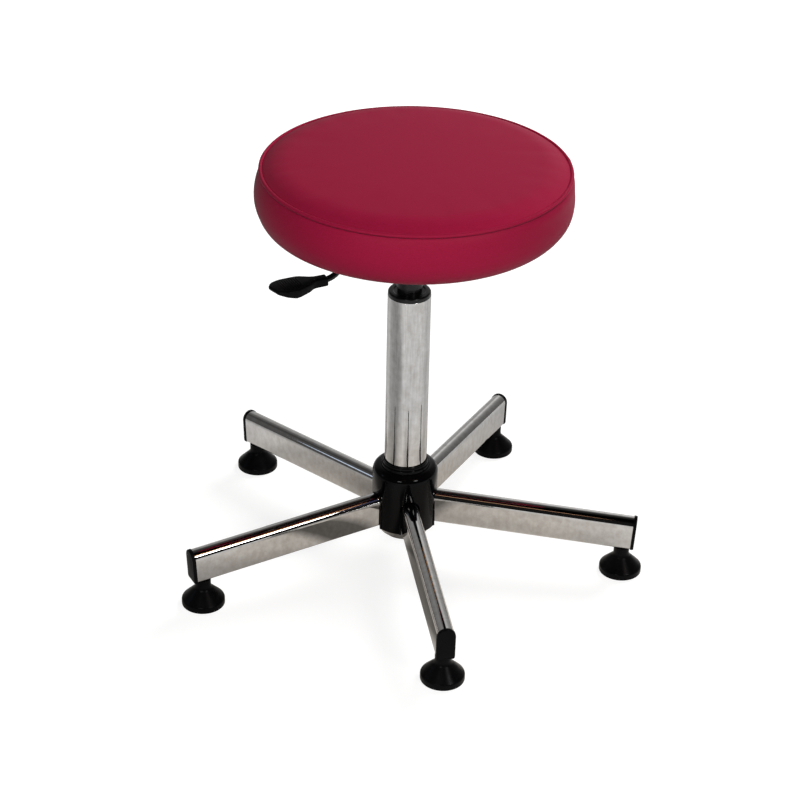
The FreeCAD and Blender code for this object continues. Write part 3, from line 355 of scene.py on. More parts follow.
def copied(
    piece: bpy.types.Object, name: str, turn: float, shift: Vector | None = None
) -> bpy.types.Object:
    """Copy a piece with a mesh of its own, turned about the column and then shifted.

    Args:
        piece: The model to copy.
        name: Name of the copy.
        turn: Degrees about the upright axis.
        shift: Move in metres, after the turn.

    Returns:
        The copy.
    """
    activate(piece)
    bpy.ops.object.duplicate(linked=False)
    copy = named(name)
    turned_by = Matrix.Rotation(math.radians(turn), 4, "Z")
    copy.matrix_world = Matrix.Translation(shift or Vector()) @ turned_by
    apply_all(copy)
    return copy


def discard(piece: bpy.types.Object) -> None:
    """Remove a model that was only there to be copied."""
    bpy.data.objects.remove(piece, do_unlink=True)


def linear(colour: str) -> tuple[float, float, float, float]:
    """Turn an sRGB hex colour into the linear values that a shader takes.

    Args:
        colour: Six hex digits with a leading hash.

    Returns:
        Red, green, blue and a full alpha.
    """
    parts = [int(colour[start : start + 2], 16) / 255 for start in (1, 3, 5)]
    values = [part / 12.92 if part <= 0.04045 else ((part + 0.055) / 1.055) ** 2.4 for part in parts]
    return values[0], values[1], values[2], 1.0


def grey(level: float) -> str:
    """Write a linear light level as an sRGB hex grey.

    Args:
        level: From 0, black, to 1, white.

    Returns:
        Six hex digits with a leading hash.
    """
    value = 12.92 * level if level <= 0.0031308 else 1.055 * level ** (1 / 2.4) - 0.055
    whole = round(255 * min(1.0, value))
    return f"#{whole:02X}{whole:02X}{whole:02X}"


def add_node(
    tree: bpy.types.NodeTree,
    kind: str,
    values: dict[str | int, object] | None = None,
    wires: dict[str | int, Wire] | None = None,
    stops: Sequence[tuple[float, str]] = (),
    **settings: object,
) -> bpy.types.Node:
    """Add a node with its settings, socket values and links.

    Args:
        tree: Node tree that gets the node.
        kind: Blender's name for the node type.
        values: Socket defaults by input name or number.
        wires: Input name or number with the node and output that feed it.
        stops: Positions and hex colours of its colour ramp, where it has one.
        **settings: Properties of the node itself.

    Returns:
        The new node.
    """
    node = tree.nodes.new(kind)
    for key, setting in settings.items():
        setattr(node, key, setting)
    for key, value in (values or {}).items():
        node.inputs[key].default_value = value
    for key, (source, output) in (wires or {}).items():
        tree.links.new(source.outputs[output], node.inputs[key])
    if stops:
        band = node.color_ramp
        while len(band.elements) < len(stops):
            band.elements.new(0.5)
        for element, (position, colour) in zip(band.elements, stops):
            element.position = position
            element.color = linear(colour)
    return node


def by_ray(tree: bpy.types.NodeTree, plain: Wire, mirrored: Wire, seen: Wire) -> Wire:
    """Choose between three shaders by the kind of ray that meets them.

    Args:
        tree: Node tree that gets the choice.
        plain: What lights the stool.
        mirrored: What polished pieces show.
        seen: What shows behind the stool.

    Returns:
        The wire of the chosen shader.
    """
    path = add_node(tree, "ShaderNodeLightPath")
    chosen = plain
    for ray, shader in (("Is Glossy Ray", mirrored), ("Is Camera Ray", seen)):
        choice = add_node(tree, "ShaderNodeMixShader", wires={0: (path, ray), 1: chosen, 2: shader})
        chosen = (choice, "Shader")
    return chosen


def stops_round(levels: Sequence[tuple[float, float]]) -> list[tuple[float, str]]:
    """Turn azimuths in degrees and their light levels into the stops of a ramp round the column."""
    return [(0.5 + azimuth / 360.0, grey(level)) for azimuth, level in levels]


def per_metre(size: float) -> float:
    """Turn a size in millimetres into a pattern scale for coordinates in metres."""
    return 1000.0 / size


@dataclass(frozen=True)
class Finish:
    """A surface finish: its main shader values, and the patterns that vary them.

    Attributes:
        name: The material's common name and how its surface was made.
        colour: Main colour, sRGB hex.
        second: Colour that the mottling leans to.
        roughness: Roughness of the clean surface.
        spread: How much the mottling adds to the roughness.
        metallic: 1 for bare metal.
        ior: Index of refraction of a non-metal.
        specular: Strength of the plain reflection of a non-metal.
        sheen: Strength of the soft light at grazing angles.
        grain_size: Size of one grain of the surface, in millimetres.
        grain_depth: Depth of the grain, in millimetres.
        wave_size: Length of the slow unevenness, in millimetres.
        wave_depth: Depth of the slow unevenness, in millimetres.
        mottle_size: Size of the colour mottling, in millimetres.
        mottle_band: Levels of the mottling at which each of the two colours is pure.
        stretch: Scale of the pattern along each axis.
    """

    name: str
    colour: str
    second: str
    roughness: float
    spread: float = 0.05
    metallic: float = 0.0
    ior: float = 1.5
    specular: float = 0.5
    sheen: float = 0.0
    grain_size: float = 0.0
    grain_depth: float = 0.0
    wave_size: float = 0.0
    wave_depth: float = 0.0
    mottle_size: float = 20.0
    mottle_band: tuple[float, float] = (0.32, 0.72)
    stretch: tuple[float, float, float] = (1.0, 1.0, 1.0)

    def build(self) -> bpy.types.Material:
        """Make the material from its nodes.

        Returns:
            The new material.
        """
        material = bpy.data.materials.new(self.name)
        material.use_nodes = True
        tree = material.node_tree
        tree.nodes.clear()
        where = add_node(tree, "ShaderNodeTexCoord")
        laid = add_node(tree, "ShaderNodeMapping", {"Scale": self.stretch}, {"Vector": (where, "Object")})
        mottle = add_node(
            tree,
            "ShaderNodeTexNoise",
            {"Scale": per_metre(self.mottle_size), "Detail": 4.0, "Roughness": 0.6},
            {"Vector": (laid, "Vector")},
        )
        tint = add_node(
            tree,
            "ShaderNodeValToRGB",
            wires={0: (mottle, "Fac")},
            stops=list(zip(self.mottle_band, (self.colour, self.second))),
        )
        rough = add_node(
            tree,
            "ShaderNodeMapRange",
            {
                "From Min": 0.3,
                "From Max": 0.7,
                "To Min": self.roughness,
                "To Max": self.roughness + self.spread,
            },
            {"Value": (mottle, "Fac")},
        )
        shader = add_node(
            tree,
            "ShaderNodeBsdfPrincipled",
            {"Metallic": self.metallic},
            {"Base Color": (tint, "Color"), "Roughness": (rough, "Result")},
        )
        if not self.metallic:
            shader.inputs["IOR"].default_value = self.ior
            shader.inputs["Specular IOR Level"].default_value = self.specular
        shader.inputs["Sheen Weight"].default_value = self.sheen
        shader.inputs["Sheen Roughness"].default_value = 0.4
        relief = None
        for size, depth, detail in (
            (self.wave_size, self.wave_depth, 2.0),
            (self.grain_size, self.grain_depth, 3.0),
        ):
            if size <= 0:
                continue
            texture = add_node(
                tree,
                "ShaderNodeTexNoise",
                {"Scale": per_metre(size), "Detail": detail},
                {"Vector": (laid, "Vector")},
            )
            wires = {"Height": (texture, "Fac")}
            if relief is not None:
                wires["Normal"] = (relief, "Normal")
            relief = add_node(tree, "ShaderNodeBump", {"Strength": 1.0, "Distance": mm(depth)}, wires)
        if relief is not None:
            tree.links.new(relief.outputs["Normal"], shader.inputs["Normal"])
        self.detail(tree, shader, laid, relief)
        add_node(tree, "ShaderNodeOutputMaterial", wires={"Surface": (shader, "BSDF")})
        return material

    def detail(
        self,
        tree: bpy.types.NodeTree,
        shader: bpy.types.Node,
        laid: bpy.types.Node,
        relief: bpy.types.Node | None,
    ) -> None:
        """Add what this finish has beyond the common nodes; the plain one has nothing."""


@dataclass(frozen=True)
class Vinyl(Finish):
    """Upholstery vinyl: a pressed grain of small rounded pebbles with fine creases between them.

    Attributes:
        pebble_size: Across one pebble, in millimetres.
        pebble_depth: Of the creases, in millimetres.
    """

    pebble_size: float = 1.1
    pebble_depth: float = 0.05

    def detail(
        self,
        tree: bpy.types.NodeTree,
        shader: bpy.types.Node,
        laid: bpy.types.Node,
        relief: bpy.types.Node | None,
    ) -> None:
        """Press the pebbled grain over the slow unevenness.

        Args:
            tree: The material's nodes.
            shader: The surface shader.
            laid: The mapped coordinates.
            relief: The bump so far.
        """
        pebbles = add_node(
            tree,
            "ShaderNodeTexVoronoi",
            {"Scale": per_metre(self.pebble_size), "Smoothness": 0.6},
            {"Vector": (laid, "Vector")},
            feature="SMOOTH_F1",
        )
        wires = {"Height": (pebbles, "Distance")}
        if relief is not None:
            wires["Normal"] = (relief, "Normal")
        pressed = add_node(
            tree,
            "ShaderNodeBump",
            {"Strength": 1.0, "Distance": mm(self.pebble_depth)},
            wires,
            invert=True,
        )
        tree.links.new(pressed.outputs["Normal"], shader.inputs["Normal"])


# Raspberry upholstery vinyl, calendered with a fine pebble grain: satin, a little grey where it catches
# light. Grain and speckle are drawn coarser than real ones, at about a millimetre, so that they show.
VINYL = Vinyl(
    name="upholstery_vinyl_pressed_grain",
    colour="#8E1233",
    second="#9E183E",
    roughness=0.5,
    spread=0.1,
    specular=0.15,
    wave_size=26.0,
    wave_depth=0.10,
    mottle_size=1.3,
)
# Polyester sewing thread, dyed near the vinyl; its colour is painted darker as shade, since it lies in the
# seam's shade.
THREAD_IN_PAINTED_SHADE = Finish("polyester_thread_twisted_painted_shade", "#4A0C1E", "#5C1028", 0.7, grain_size=0.4, grain_depth=0.03)
# Bright chrome plate over drawn steel tube: a mirror with the tube's faint unevenness and a warm grey
# cast. The patches of cloudier plate are drawn at 7 mm, so that they show.
CHROME = Finish(
    name="chrome_plate_on_drawn_tube",
    colour="#D2D1D0",
    second="#BFBCB8",
    roughness=0.025,
    spread=0.03,
    metallic=1.0,
    wave_size=8.0,
    wave_depth=0.014,
    mottle_size=7.0,
    stretch=(1.0, 1.0, 0.8),
)
# Polished black ABS, injection moulded in a polished tool: deep black with a sharp gloss.
GLOSS_ABS = Finish(
    name="abs_moulded_glossy_black",
    colour="#030304",
    second="#060607",
    roughness=0.08,
    spread=0.04,
    specular=0.1,
    wave_size=14.0,
    wave_depth=0.01,
)
# Black polypropylene, moulded with a fine spark texture: satin with a faint grey bloom.
SATIN_PP = Finish(
    name="polypropylene_moulded_satin_black",
    colour="#070708",
    second="#0C0C0D",
    roughness=0.32,
    spread=0.1,
    specular=0.06,
    grain_size=0.5,
    grain_depth=0.012,
)
# Black polyethylene glide, moulded and rubbed by floors: waxy half gloss.
GLIDE_PE = Finish(
    name="polyethylene_moulded_glide_black",
    colour="#060607",
    second="#0B0B0C",
    roughness=0.25,
    spread=0.12,
    specular=0.07,
    grain_size=0.9,
    grain_depth=0.008,
)
# Acetal guide, turned: plain black with a soft shine.
ACETAL = Finish(
    "acetal_turned_black", "#060606", "#0B0B0B", 0.26, 0.08, specular=0.35, grain_size=0.6, grain_depth=0.006
)
# Stove enamel on pressed steel: black, slightly orange-peeled.
ENAMEL = Finish(
    "stove_enamel_black", "#080809", "#0D0D0E", 0.22, 0.08, specular=0.35, wave_size=2.2, wave_depth=0.02
)
# Bare drawn steel: grey, oiled, faint draw marks along its length.
STEEL = Finish(
    "drawn_steel_bright", "#8E8F92", "#7C7D80", 0.3, 0.12, metallic=1.0, grain_size=0.6, grain_depth=0.01,
    stretch=(1.0, 1.0, 0.08),
)
# Zinc-plated steel: pale blue-grey with a slightly cloudy passivation.
ZINC = Finish(
    "zinc_plated_steel", "#B4B8BD", "#9DA3AA", 0.32, 0.12, metallic=1.0, grain_size=0.5, grain_depth=0.01,
    mottle_size=3.0,
)
# Turned aluminium alloy: pale, satin from the tool.
ALLOY = Finish(
    "aluminium_turned", "#B9BABB", "#A8A9AA", 0.35, 0.1, metallic=1.0, grain_size=0.4, grain_depth=0.01
)
# Nitrile rubber: black, dull.
RUBBER = Finish("nitrile_rubber_moulded", "#101010", "#181818", 0.75, 0.1, grain_size=0.8, grain_depth=0.02)
# Spun-bonded lining cloth: black felted fibres, quite matt.
LINING = Finish(
    "spun_bonded_lining_black", "#131314", "#222224", 0.85, 0.1, sheen=0.2, grain_size=0.7, grain_depth=0.06,
    mottle_size=2.0, stretch=(1.0, 0.4, 1.0),
)
# Beech plywood: pale with a straight grain along one side.
PLYWOOD = Finish(
    "beech_plywood_sanded", "#C9A67A", "#B48C5E", 0.6, 0.1, grain_size=1.2, grain_depth=0.03, mottle_size=9.0,
    stretch=(1.0, 0.07, 1.0),
)


class Shop:
    """Keeps the materials, made once each, and hands finished pieces over to the frame."""

    def __init__(self) -> None:
        """Start with no materials made."""
        self.made: dict[str, bpy.types.Material] = {}

    def material(self, finish: Finish) -> bpy.types.Material:
        """Find or make the material of a finish.

        Args:
            finish: The finish.

        Returns:
            Its material.
        """
        if finish.name not in self.made:
            self.made[finish.name] = finish.build()
        return self.made[finish.name]

    def dress(self, piece: bpy.types.Object, finish: Finish) -> None:
        """Give a whole piece one finish.

        Args:
            piece: The object.
            finish: Its finish.
        """
        piece.data.materials.clear()
        piece.data.materials.append(self.material(finish))

    def deliver(
        self, piece: bpy.types.Object, finish: Finish, body: str, stands_for: Iterable[str] = ()
    ) -> bpy.types.Object:
        """Dress a new piece, put it on its body and hide the CAD nodes that it stands for.

        Args:
            piece: The finished object.
            finish: Its finish.
            body: CAD body that it rides on.
            stands_for: CAD nodes that it replaces.

        Returns:
            The piece.
        """
        self.dress(piece, finish)
        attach(piece, body)
        nodes = list(stands_for)
        if nodes:
            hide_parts(*nodes)
        log.info("%s rides on %s, %d faces", piece.name, body, len(piece.data.polygons))
        return piece


@dataclass
class StarBase:
    """Five chromed tube arms with end caps and glides.

    Attributes:
        circle: Radius of the circle that the glides stand on.
        under_glide: Height of an arm's underside over its glide.
        slope: Fall of an arm towards its end, in degrees.
        width: Across an arm.
        height: Of an arm's section.
        foot: Radius of the arm's two lower edges.
        beyond: From a glide's axis to the end of its arm.
        start: Inner end of the arm, inside the hub cover.
        cap_overlap: How far a cap stands proud of its arm.
        cap_thickness: Of a cap's plate.
        cap_round: Radius of a cap's outer edge.
        glide: Section of a glide.
    """

    circle: float = 263.6
    under_glide: float = 36.3
    slope: float = 3.07
    width: float = 20.0
    height: float = 40.0
    foot: float = 2.0
    beyond: float = 10.2
    start: float = 29.0
    cap_overlap: float = 0.8
    cap_thickness: float = 4.0
    cap_round: float = 1.4
    glide: tuple[Corner, ...] = (
        (0.0, 0.0, 0.0),
        (25.2, 0.0, 1.2),
        (25.2, 7.5, 3.0),
        (9.3, 23.4, 8.0),
        (9.3, 34.2, 0.5),
        (0.0, 34.2, 0.0),
    )

    def underside(self, radius: float) -> float:
        """Give the height of an arm's underside at a distance from the column."""
        return self.under_glide + (self.circle - radius) * math.tan(math.radians(self.slope))

    def lay(self, piece: bpy.types.Object, radius: float, lift: float) -> None:
        """Tilt a block to the arm's slope with its lower end at a distance from the column.

        Args:
            piece: The block, at the origin.
            radius: Distance of its inner end from the column.
            lift: Height that its underside is raised by.
        """
        tilt = Matrix.Rotation(math.radians(self.slope), 4, "Y")
        piece.matrix_world = Matrix.Translation(point(radius, 0, self.underside(radius) + lift)) @ tilt
        apply_all(piece)

    def build(self, shop: Shop) -> None:
        """Make the five arms with their caps and glides.

        Args:
            shop: Dresses and delivers the pieces.
        """
        reach = (self.circle + self.beyond - self.start) / math.cos(math.radians(self.slope))
        arm = tombstone("arm_model", self.width, self.height, reach, self.foot)
        self.lay(arm, self.start, 0.0)
        smooth(arm, angle=30.0)
        cap = self.cap()
        glide = turned("glide_model", self.glide, steps=96, segments=8)
        for number in range(1, ARM_COUNT + 1):
            azimuth = arm_azimuth(number - 1)
            tube = copied(arm, f"tube_arm_{number}", azimuth)
            shop.deliver(tube, CHROME, "base", [f"arm_{number}"])
            plug = copied(cap, f"end_cap_{number}", azimuth)
            shop.deliver(plug, SATIN_PP, "base", [f"arm_end_cap_{number}"])
            angle = math.radians(azimuth)
            spot = point(self.circle * math.cos(angle), self.circle * math.sin(angle), 0)
            foot = copied(glide, f"glide_foot_{number}", azimuth, spot)
            shop.deliver(foot, GLIDE_PE, f"glide_{number}", [f"glide_pad_{number}"])
        for model in (arm, cap, glide):
            discard(model)

    def cap(self) -> bpy.types.Object:
        """Shape an end cap: a plate that follows the tube's outline, with a rounded outer face.

        Returns:
            The cap at azimuth zero.
        """
        grown = 2 * self.cap_overlap
        foot = self.foot + self.cap_overlap
        piece = tombstone("cap_model", self.width + grown, self.height + grown, self.cap_thickness, foot)
        open_mesh()

        def on_outer_face(item: bmesh.types.BMEdge) -> bool:
            """Say whether an edge goes round the outer face."""
            return all(abs(corner.co.x - mm(self.cap_thickness)) < mm(HAIR) for corner in item.verts)

        pick(piece, Grain.EDGE, on_outer_face)
        bpy.ops.mesh.bevel(offset=mm(self.cap_round), segments=5, profile=0.5, affect="EDGES")
        close_mesh()
        self.lay(piece, self.circle + self.beyond, -self.cap_overlap)
        smooth(piece, angle=40.0)
        return piece


@dataclass
class Hub:
    """Welded sleeve under its glossy moulded cover.

    Attributes:
        radius: Of the cover's wall.
        slot_width: Across the slot for an arm.
        slot_top: Height of the slot's crown.
        slot_edge: Radius of the slot's edge.
        cutter_foot: Height of the slot cutter's foot, under the cover.
        cutter_reach: Length of the slot cutter, in radii of the cover.
        cutter_edge: Radius of the slot cutter's lower edges.
        cheek_gap: From the slot's middle to the inner wall beside it.
        cheek_overlap: How far those walls go into the cover.
        cheek_span: Inner and outer radius and lower and upper height of those walls.
        section: Section of the cover.
        sleeve: Section of the steel sleeve.
    """

    radius: float = 39.0
    slot_width: float = 24.0
    slot_top: float = 89.2
    slot_edge: float = 0.35
    cutter_foot: float = 20.0
    cutter_reach: float = 1.6
    cutter_edge: float = 0.1
    cheek_gap: float = 10.25
    cheek_overlap: float = 0.4
    cheek_span: tuple[float, float, float, float] = (30.5, 38.4, 44.4, 76.0)
    section: tuple[Corner, ...] = (
        (39.0, 44.0, 0.6),
        (39.0, 122.1, 10.0),
        (29.4, 122.1, 0.8),
        (28.8, 125.6, 1.0),
        (27.5, 125.9, 0.5),
        (27.1, 128.2, 0.5),
        (26.6, 128.4, 0.3),
        (26.4, 130.0, 0.5),
        (25.3, 130.0, 0.3),
        (25.3, 119.6, 0.0),
        (36.5, 119.6, 7.5),
        (36.5, 44.0, 0.6),
    )
    sleeve: tuple[Corner, ...] = (
        (24.4, 33.0, 0.0),
        (30.0, 33.0, 0.8),
        (30.0, 114.0, 0.8),
        (25.0, 114.0, 0.0),
    )

    def build(self, shop: Shop) -> None:
        """Make the cover with its five slots, and the sleeve.

        Args:
            shop: Dresses and delivers the pieces.
        """
        cover = turned("hub_cap", self.section, closed=True, steps=180, segments=8)
        cutter = tombstone(
            "slot_cutter",
            self.slot_width,
            self.slot_top - self.cutter_foot,
            self.radius * self.cutter_reach,
            self.cutter_edge,
        )
        for number in range(ARM_COUNT):
            blade = copied(cutter, "slot_blade", arm_azimuth(number), point(0, 0, self.cutter_foot))
            activate(cover)
            bpy.ops.object.modifier_add(type="BOOLEAN")
            cut = cover.modifiers[-1]
            cut.operation = "DIFFERENCE"
            cut.object = blade
            bpy.ops.object.modifier_apply(modifier=cut.name)
            discard(blade)
        discard(cutter)
        soften(cover, self.slot_edge, segments=2, angle=50.0)
        self.add_cheeks(cover)
        smooth(cover, angle=32.0)
        shop.deliver(cover, GLOSS_ABS, "base", ["hub_cover"])
        sleeve = turned("hub_tube", self.sleeve, closed=True, steps=96)
        shop.deliver(sleeve, CHROME, "base", ["hub_sleeve"])

    def add_cheeks(self, cover: bpy.types.Object) -> None:
        """Line both sides of each slot with a thin inner wall that closes in on the arm.

        Args:
            cover: The cover, which the cheeks are joined to.
        """
        inner, outer, low, high = self.cheek_span
        middle = (self.cheek_gap + self.slot_width / 2) / 2
        thick = self.slot_width / 2 - self.cheek_gap + self.cheek_overlap
        deselect()
        bpy.ops.mesh.primitive_cube_add(size=1, location=point((inner + outer) / 2, middle, (low + high) / 2))
        cheek = named("cheek_model")
        cheek.scale = (mm(outer - inner), mm(thick), mm(high - low))
        apply_all(cheek)
        cheeks = []
        for number in range(ARM_COUNT):
            azimuth = arm_azimuth(number)
            cheeks.append(copied(cheek, f"cheek_{number}_left", azimuth))
            across = Matrix.Rotation(math.radians(azimuth + 90.0), 4, "Z") @ Vector((mm(2 * middle), 0, 0))
            cheeks.append(copied(cheek, f"cheek_{number}_right", azimuth, -across))
        discard(cheek)
        deselect()
        for piece in [*cheeks, cover]:
            piece.select_set(True)
        bpy.context.view_layer.objects.active = cover
        bpy.ops.object.join()


@dataclass
class Column:
    """Chromed pressure column, its guide, and the gas cylinder that slides in it.

    Attributes:
        tube: Section of the column.
        guide: Section of the guide's visible end.
        cylinder: Section of the gas cylinder.
        cone: Section of the tapered socket under the seat.
    """

    tube: tuple[Corner, ...] = (
        (23.0, 28.0, 0.0),
        (24.3, 28.0, 0.6),
        (25.0, 110.0, 0.0),
        (25.0, 347.0, 0.5),
        (23.0, 347.0, 0.3),
    )
    guide: tuple[Corner, ...] = (
        (14.05, 262.0, 0.0),
        (22.95, 262.0, 0.0),
        (22.95, 347.0, 0.0),
        (24.7, 347.0, 0.3),
        (24.7, 352.0, 1.8),
        (19.0, 352.0, 0.8),
        (17.6, 351.2, 0.6),
        (14.05, 351.2, 0.4),
    )
    cylinder: tuple[Corner, ...] = (
        (0.0, 66.1, 0.0),
        (14.0, 66.1, 1.0),
        (14.0, 360.0, 0.0),
        (13.1, 408.0, 0.5),
        (0.0, 408.0, 0.0),
    )
    cone: tuple[Corner, ...] = (
        (14.0, 357.5, 0.0),
        (15.5, 357.5, 0.8),
        (15.5, 410.0, 0.4),
        (13.1, 410.0, 0.0),
    )

    def build(self, shop: Shop) -> None:
        """Make the column's turned pieces.

        Args:
            shop: Dresses and delivers the pieces.
        """
        for name, section, closed, steps, finish, body, slot, node in (
            ("pressure_column", self.tube, True, 160, CHROME, "base", "chrome", "column_tube"),
            ("column_guide", self.guide, True, 128, ACETAL, "base", "black_nylon", "guide_bush"),
            ("gas_spring_cylinder", self.cylinder, False, 96, ENAMEL, "seat", "black_enamel", "gas_cylinder"),
            ("tapered_socket", self.cone, True, 96, ENAMEL, "seat", "black_enamel", "cone_socket"),
        ):
            piece = turned(name, section, closed=closed, steps=steps)
            shop.deliver(piece, finish, body, [node])


@dataclass
class Lever:
    """Bent rod with a flat ribbed grip.

    Attributes:
        azimuth: Direction of the lever from the column, in degrees.
        rod_radius: Of the rod.
        rod_height: Of its inner run.
        rod_start: Inner end of the rod.
        knee: Where the inner run and the slope would meet.
        ankle: Where the slope and the outer run would meet.
        rod_end: Outer end of the rod, inside the grip.
        knee_round: Radius of the inner bend.
        ankle_round: Radius of the outer bend.
        grip_height: Of the outer run.
        grip_thickness: Of the grip.
        outline: The grip in plan.
        rim_round: Radius of the grip's rims.
        rib_start: Distance of the first rib from the column.
        rib_pitch: Between ribs.
        rib_count: Number of ribs.
        rib_half: Half the length of a rib.
        rib_short: How much less that is for the two ribs at the tip.
        rib_size: Width and height of a rib's block, half of it inside the grip.
        rib_round: Radius of a rib's edges.
        rib_middle: How far the ribs' middle lies from the rod's line.
        thin_from: Where the grip begins to thin towards its tip.
        thin_over: Length of the thinning.
        thin_by: How much thinner the tip is.
    """

    azimuth: float = 196.0
    rod_radius: float = 3.5
    rod_height: float = 421.5
    rod_start: float = 16.0
    knee: float = 55.6
    ankle: float = 98.0
    rod_end: float = 133.0
    knee_round: float = 14.0
    ankle_round: float = 24.0
    grip_height: float = 385.7
    grip_thickness: float = 10.5
    outline: tuple[Corner, ...] = (
        (103.5, -4.8, 2.0),
        (119.0, -4.8, 14.0),
        (134.5, -13.0, 16.0),
        (157.0, -12.6, 20.0),
        (168.0, -8.6, 10.0),
        (173.2, -1.0, 6.0),
        (168.5, 16.0, 7.0),
        (158.5, 21.8, 14.0),
        (145.0, 21.6, 20.0),
        (128.5, 13.6, 14.0),
        (121.0, 7.2, 12.0),
        (103.5, 6.8, 2.0),
    )
    rim_round: float = 1.8
    rib_start: float = 137.5
    rib_pitch: float = 2.8
    rib_count: int = 9
    rib_half: float = 12.0
    rib_short: float = 1.5
    rib_size: tuple[float, float] = (1.2, 1.1)
    rib_round: float = 0.4
    rib_middle: float = 4.3
    thin_from: float = 148.0
    thin_over: float = 22.0
    thin_by: float = 6.0

    def build(self, shop: Shop) -> None:
        """Make the rod and the grip.

        Args:
            shop: Dresses and delivers the pieces.
        """
        model = self.rod()
        rod = copied(model, "lever_arm", self.azimuth)
        discard(model)
        smooth(rod)
        shop.deliver(rod, ENAMEL, "lever", ["lever_rod"])
        model = self.grip()
        grip = copied(model, "lever_grip", self.azimuth)
        discard(model)
        smooth(grip, angle=40.0)
        shop.deliver(grip, SATIN_PP, "lever", ["lever_paddle"])

    def rod(self) -> bpy.types.Object:
        """Draw the rod from a disc: extruded for each straight and spun for each bend.

        Returns:
            The rod at azimuth zero.
        """
        drop = self.rod_height - self.grip_height
        fall = math.atan2(drop, self.ankle - self.knee)
        knee_back = self.knee_round * math.tan(fall / 2)
        ankle_back = self.ankle_round * math.tan(fall / 2)
        slope = math.hypot(drop, self.ankle - self.knee) - knee_back - ankle_back
        down = Vector((math.cos(fall), 0, -math.sin(fall)))
        deselect()
        bpy.ops.mesh.primitive_circle_add(
            vertices=32,
            radius=mm(self.rod_radius),
            fill_type="NGON",
            location=point(self.rod_start, 0, self.rod_height),
            rotation=(0, math.pi / 2, 0),
        )
        piece = named("rod_model")
        apply_all(piece)
        open_mesh()

        def run(step: Vector) -> None:
            """Extrude the end face along a straight."""
            bpy.ops.mesh.extrude_region_move(TRANSFORM_OT_translate={"value": step})

        run(point(self.knee - knee_back - self.rod_start, 0, 0))
        centre = point(self.knee - knee_back, 0, self.rod_height - self.knee_round)
        bpy.ops.mesh.spin(steps=10, angle=fall, center=centre, axis=(0, -1, 0))
        run(down * mm(slope))
        centre = point(self.ankle + ankle_back, 0, self.grip_height + self.ankle_round)
        bpy.ops.mesh.spin(steps=10, angle=fall, center=centre, axis=(0, 1, 0))
        run(point(self.rod_end - self.ankle - ankle_back, 0, 0))
        close_mesh()
        return piece

    def grip(self) -> bpy.types.Object:
        """Shape the grip from its outline, round its rims and set its ribs on top.

        Returns:
            The grip at azimuth zero.
        """
        half = self.grip_thickness / 2
        low, top = self.grip_height - half, self.grip_height + half
        piece = plate("grip_model", self.outline, low, top, segments=8)
        for vertex in piece.data.vertices:
            if vertex.co.z < mm(self.grip_height):
                share = share_of(vertex.co.x / mm(1), self.thin_from, self.thin_over)
                vertex.co.z += mm(self.thin_by * share)
        soften(piece, self.rim_round, segments=5, angle=60.0)
        wide, tall = self.rib_size
        for number in range(self.rib_count):
            deselect()
            spot = point(self.rib_start + number * self.rib_pitch, self.rib_middle, top)
            bpy.ops.mesh.primitive_cube_add(size=1, location=spot)
            rib = named(f"rib_{number}")
            reach = self.rib_half - (self.rib_short if number >= self.rib_count - 2 else 0.0)
            rib.scale = (mm(wide), mm(2 * reach), mm(tall))
            apply_all(rib)
            soften(rib, self.rib_round, segments=2)
            piece.select_set(True)
            bpy.context.view_layer.objects.active = piece
            bpy.ops.object.join()
        return piece


# How the vinyl cover behaves as cloth: light, firm against stretch, and blown up by the foam's push.
COVER_CLOTH: dict[str, float | bool] = {
    "quality": 6,
    "mass": 0.4,
    "tension_stiffness": 40.0,
    "compression_stiffness": 40.0,
    "shear_stiffness": 20.0,
    "bending_stiffness": 6.0,
    "use_pressure": True,
    "uniform_pressure_force": 4.0,
}
COVER_FRAMES = 20


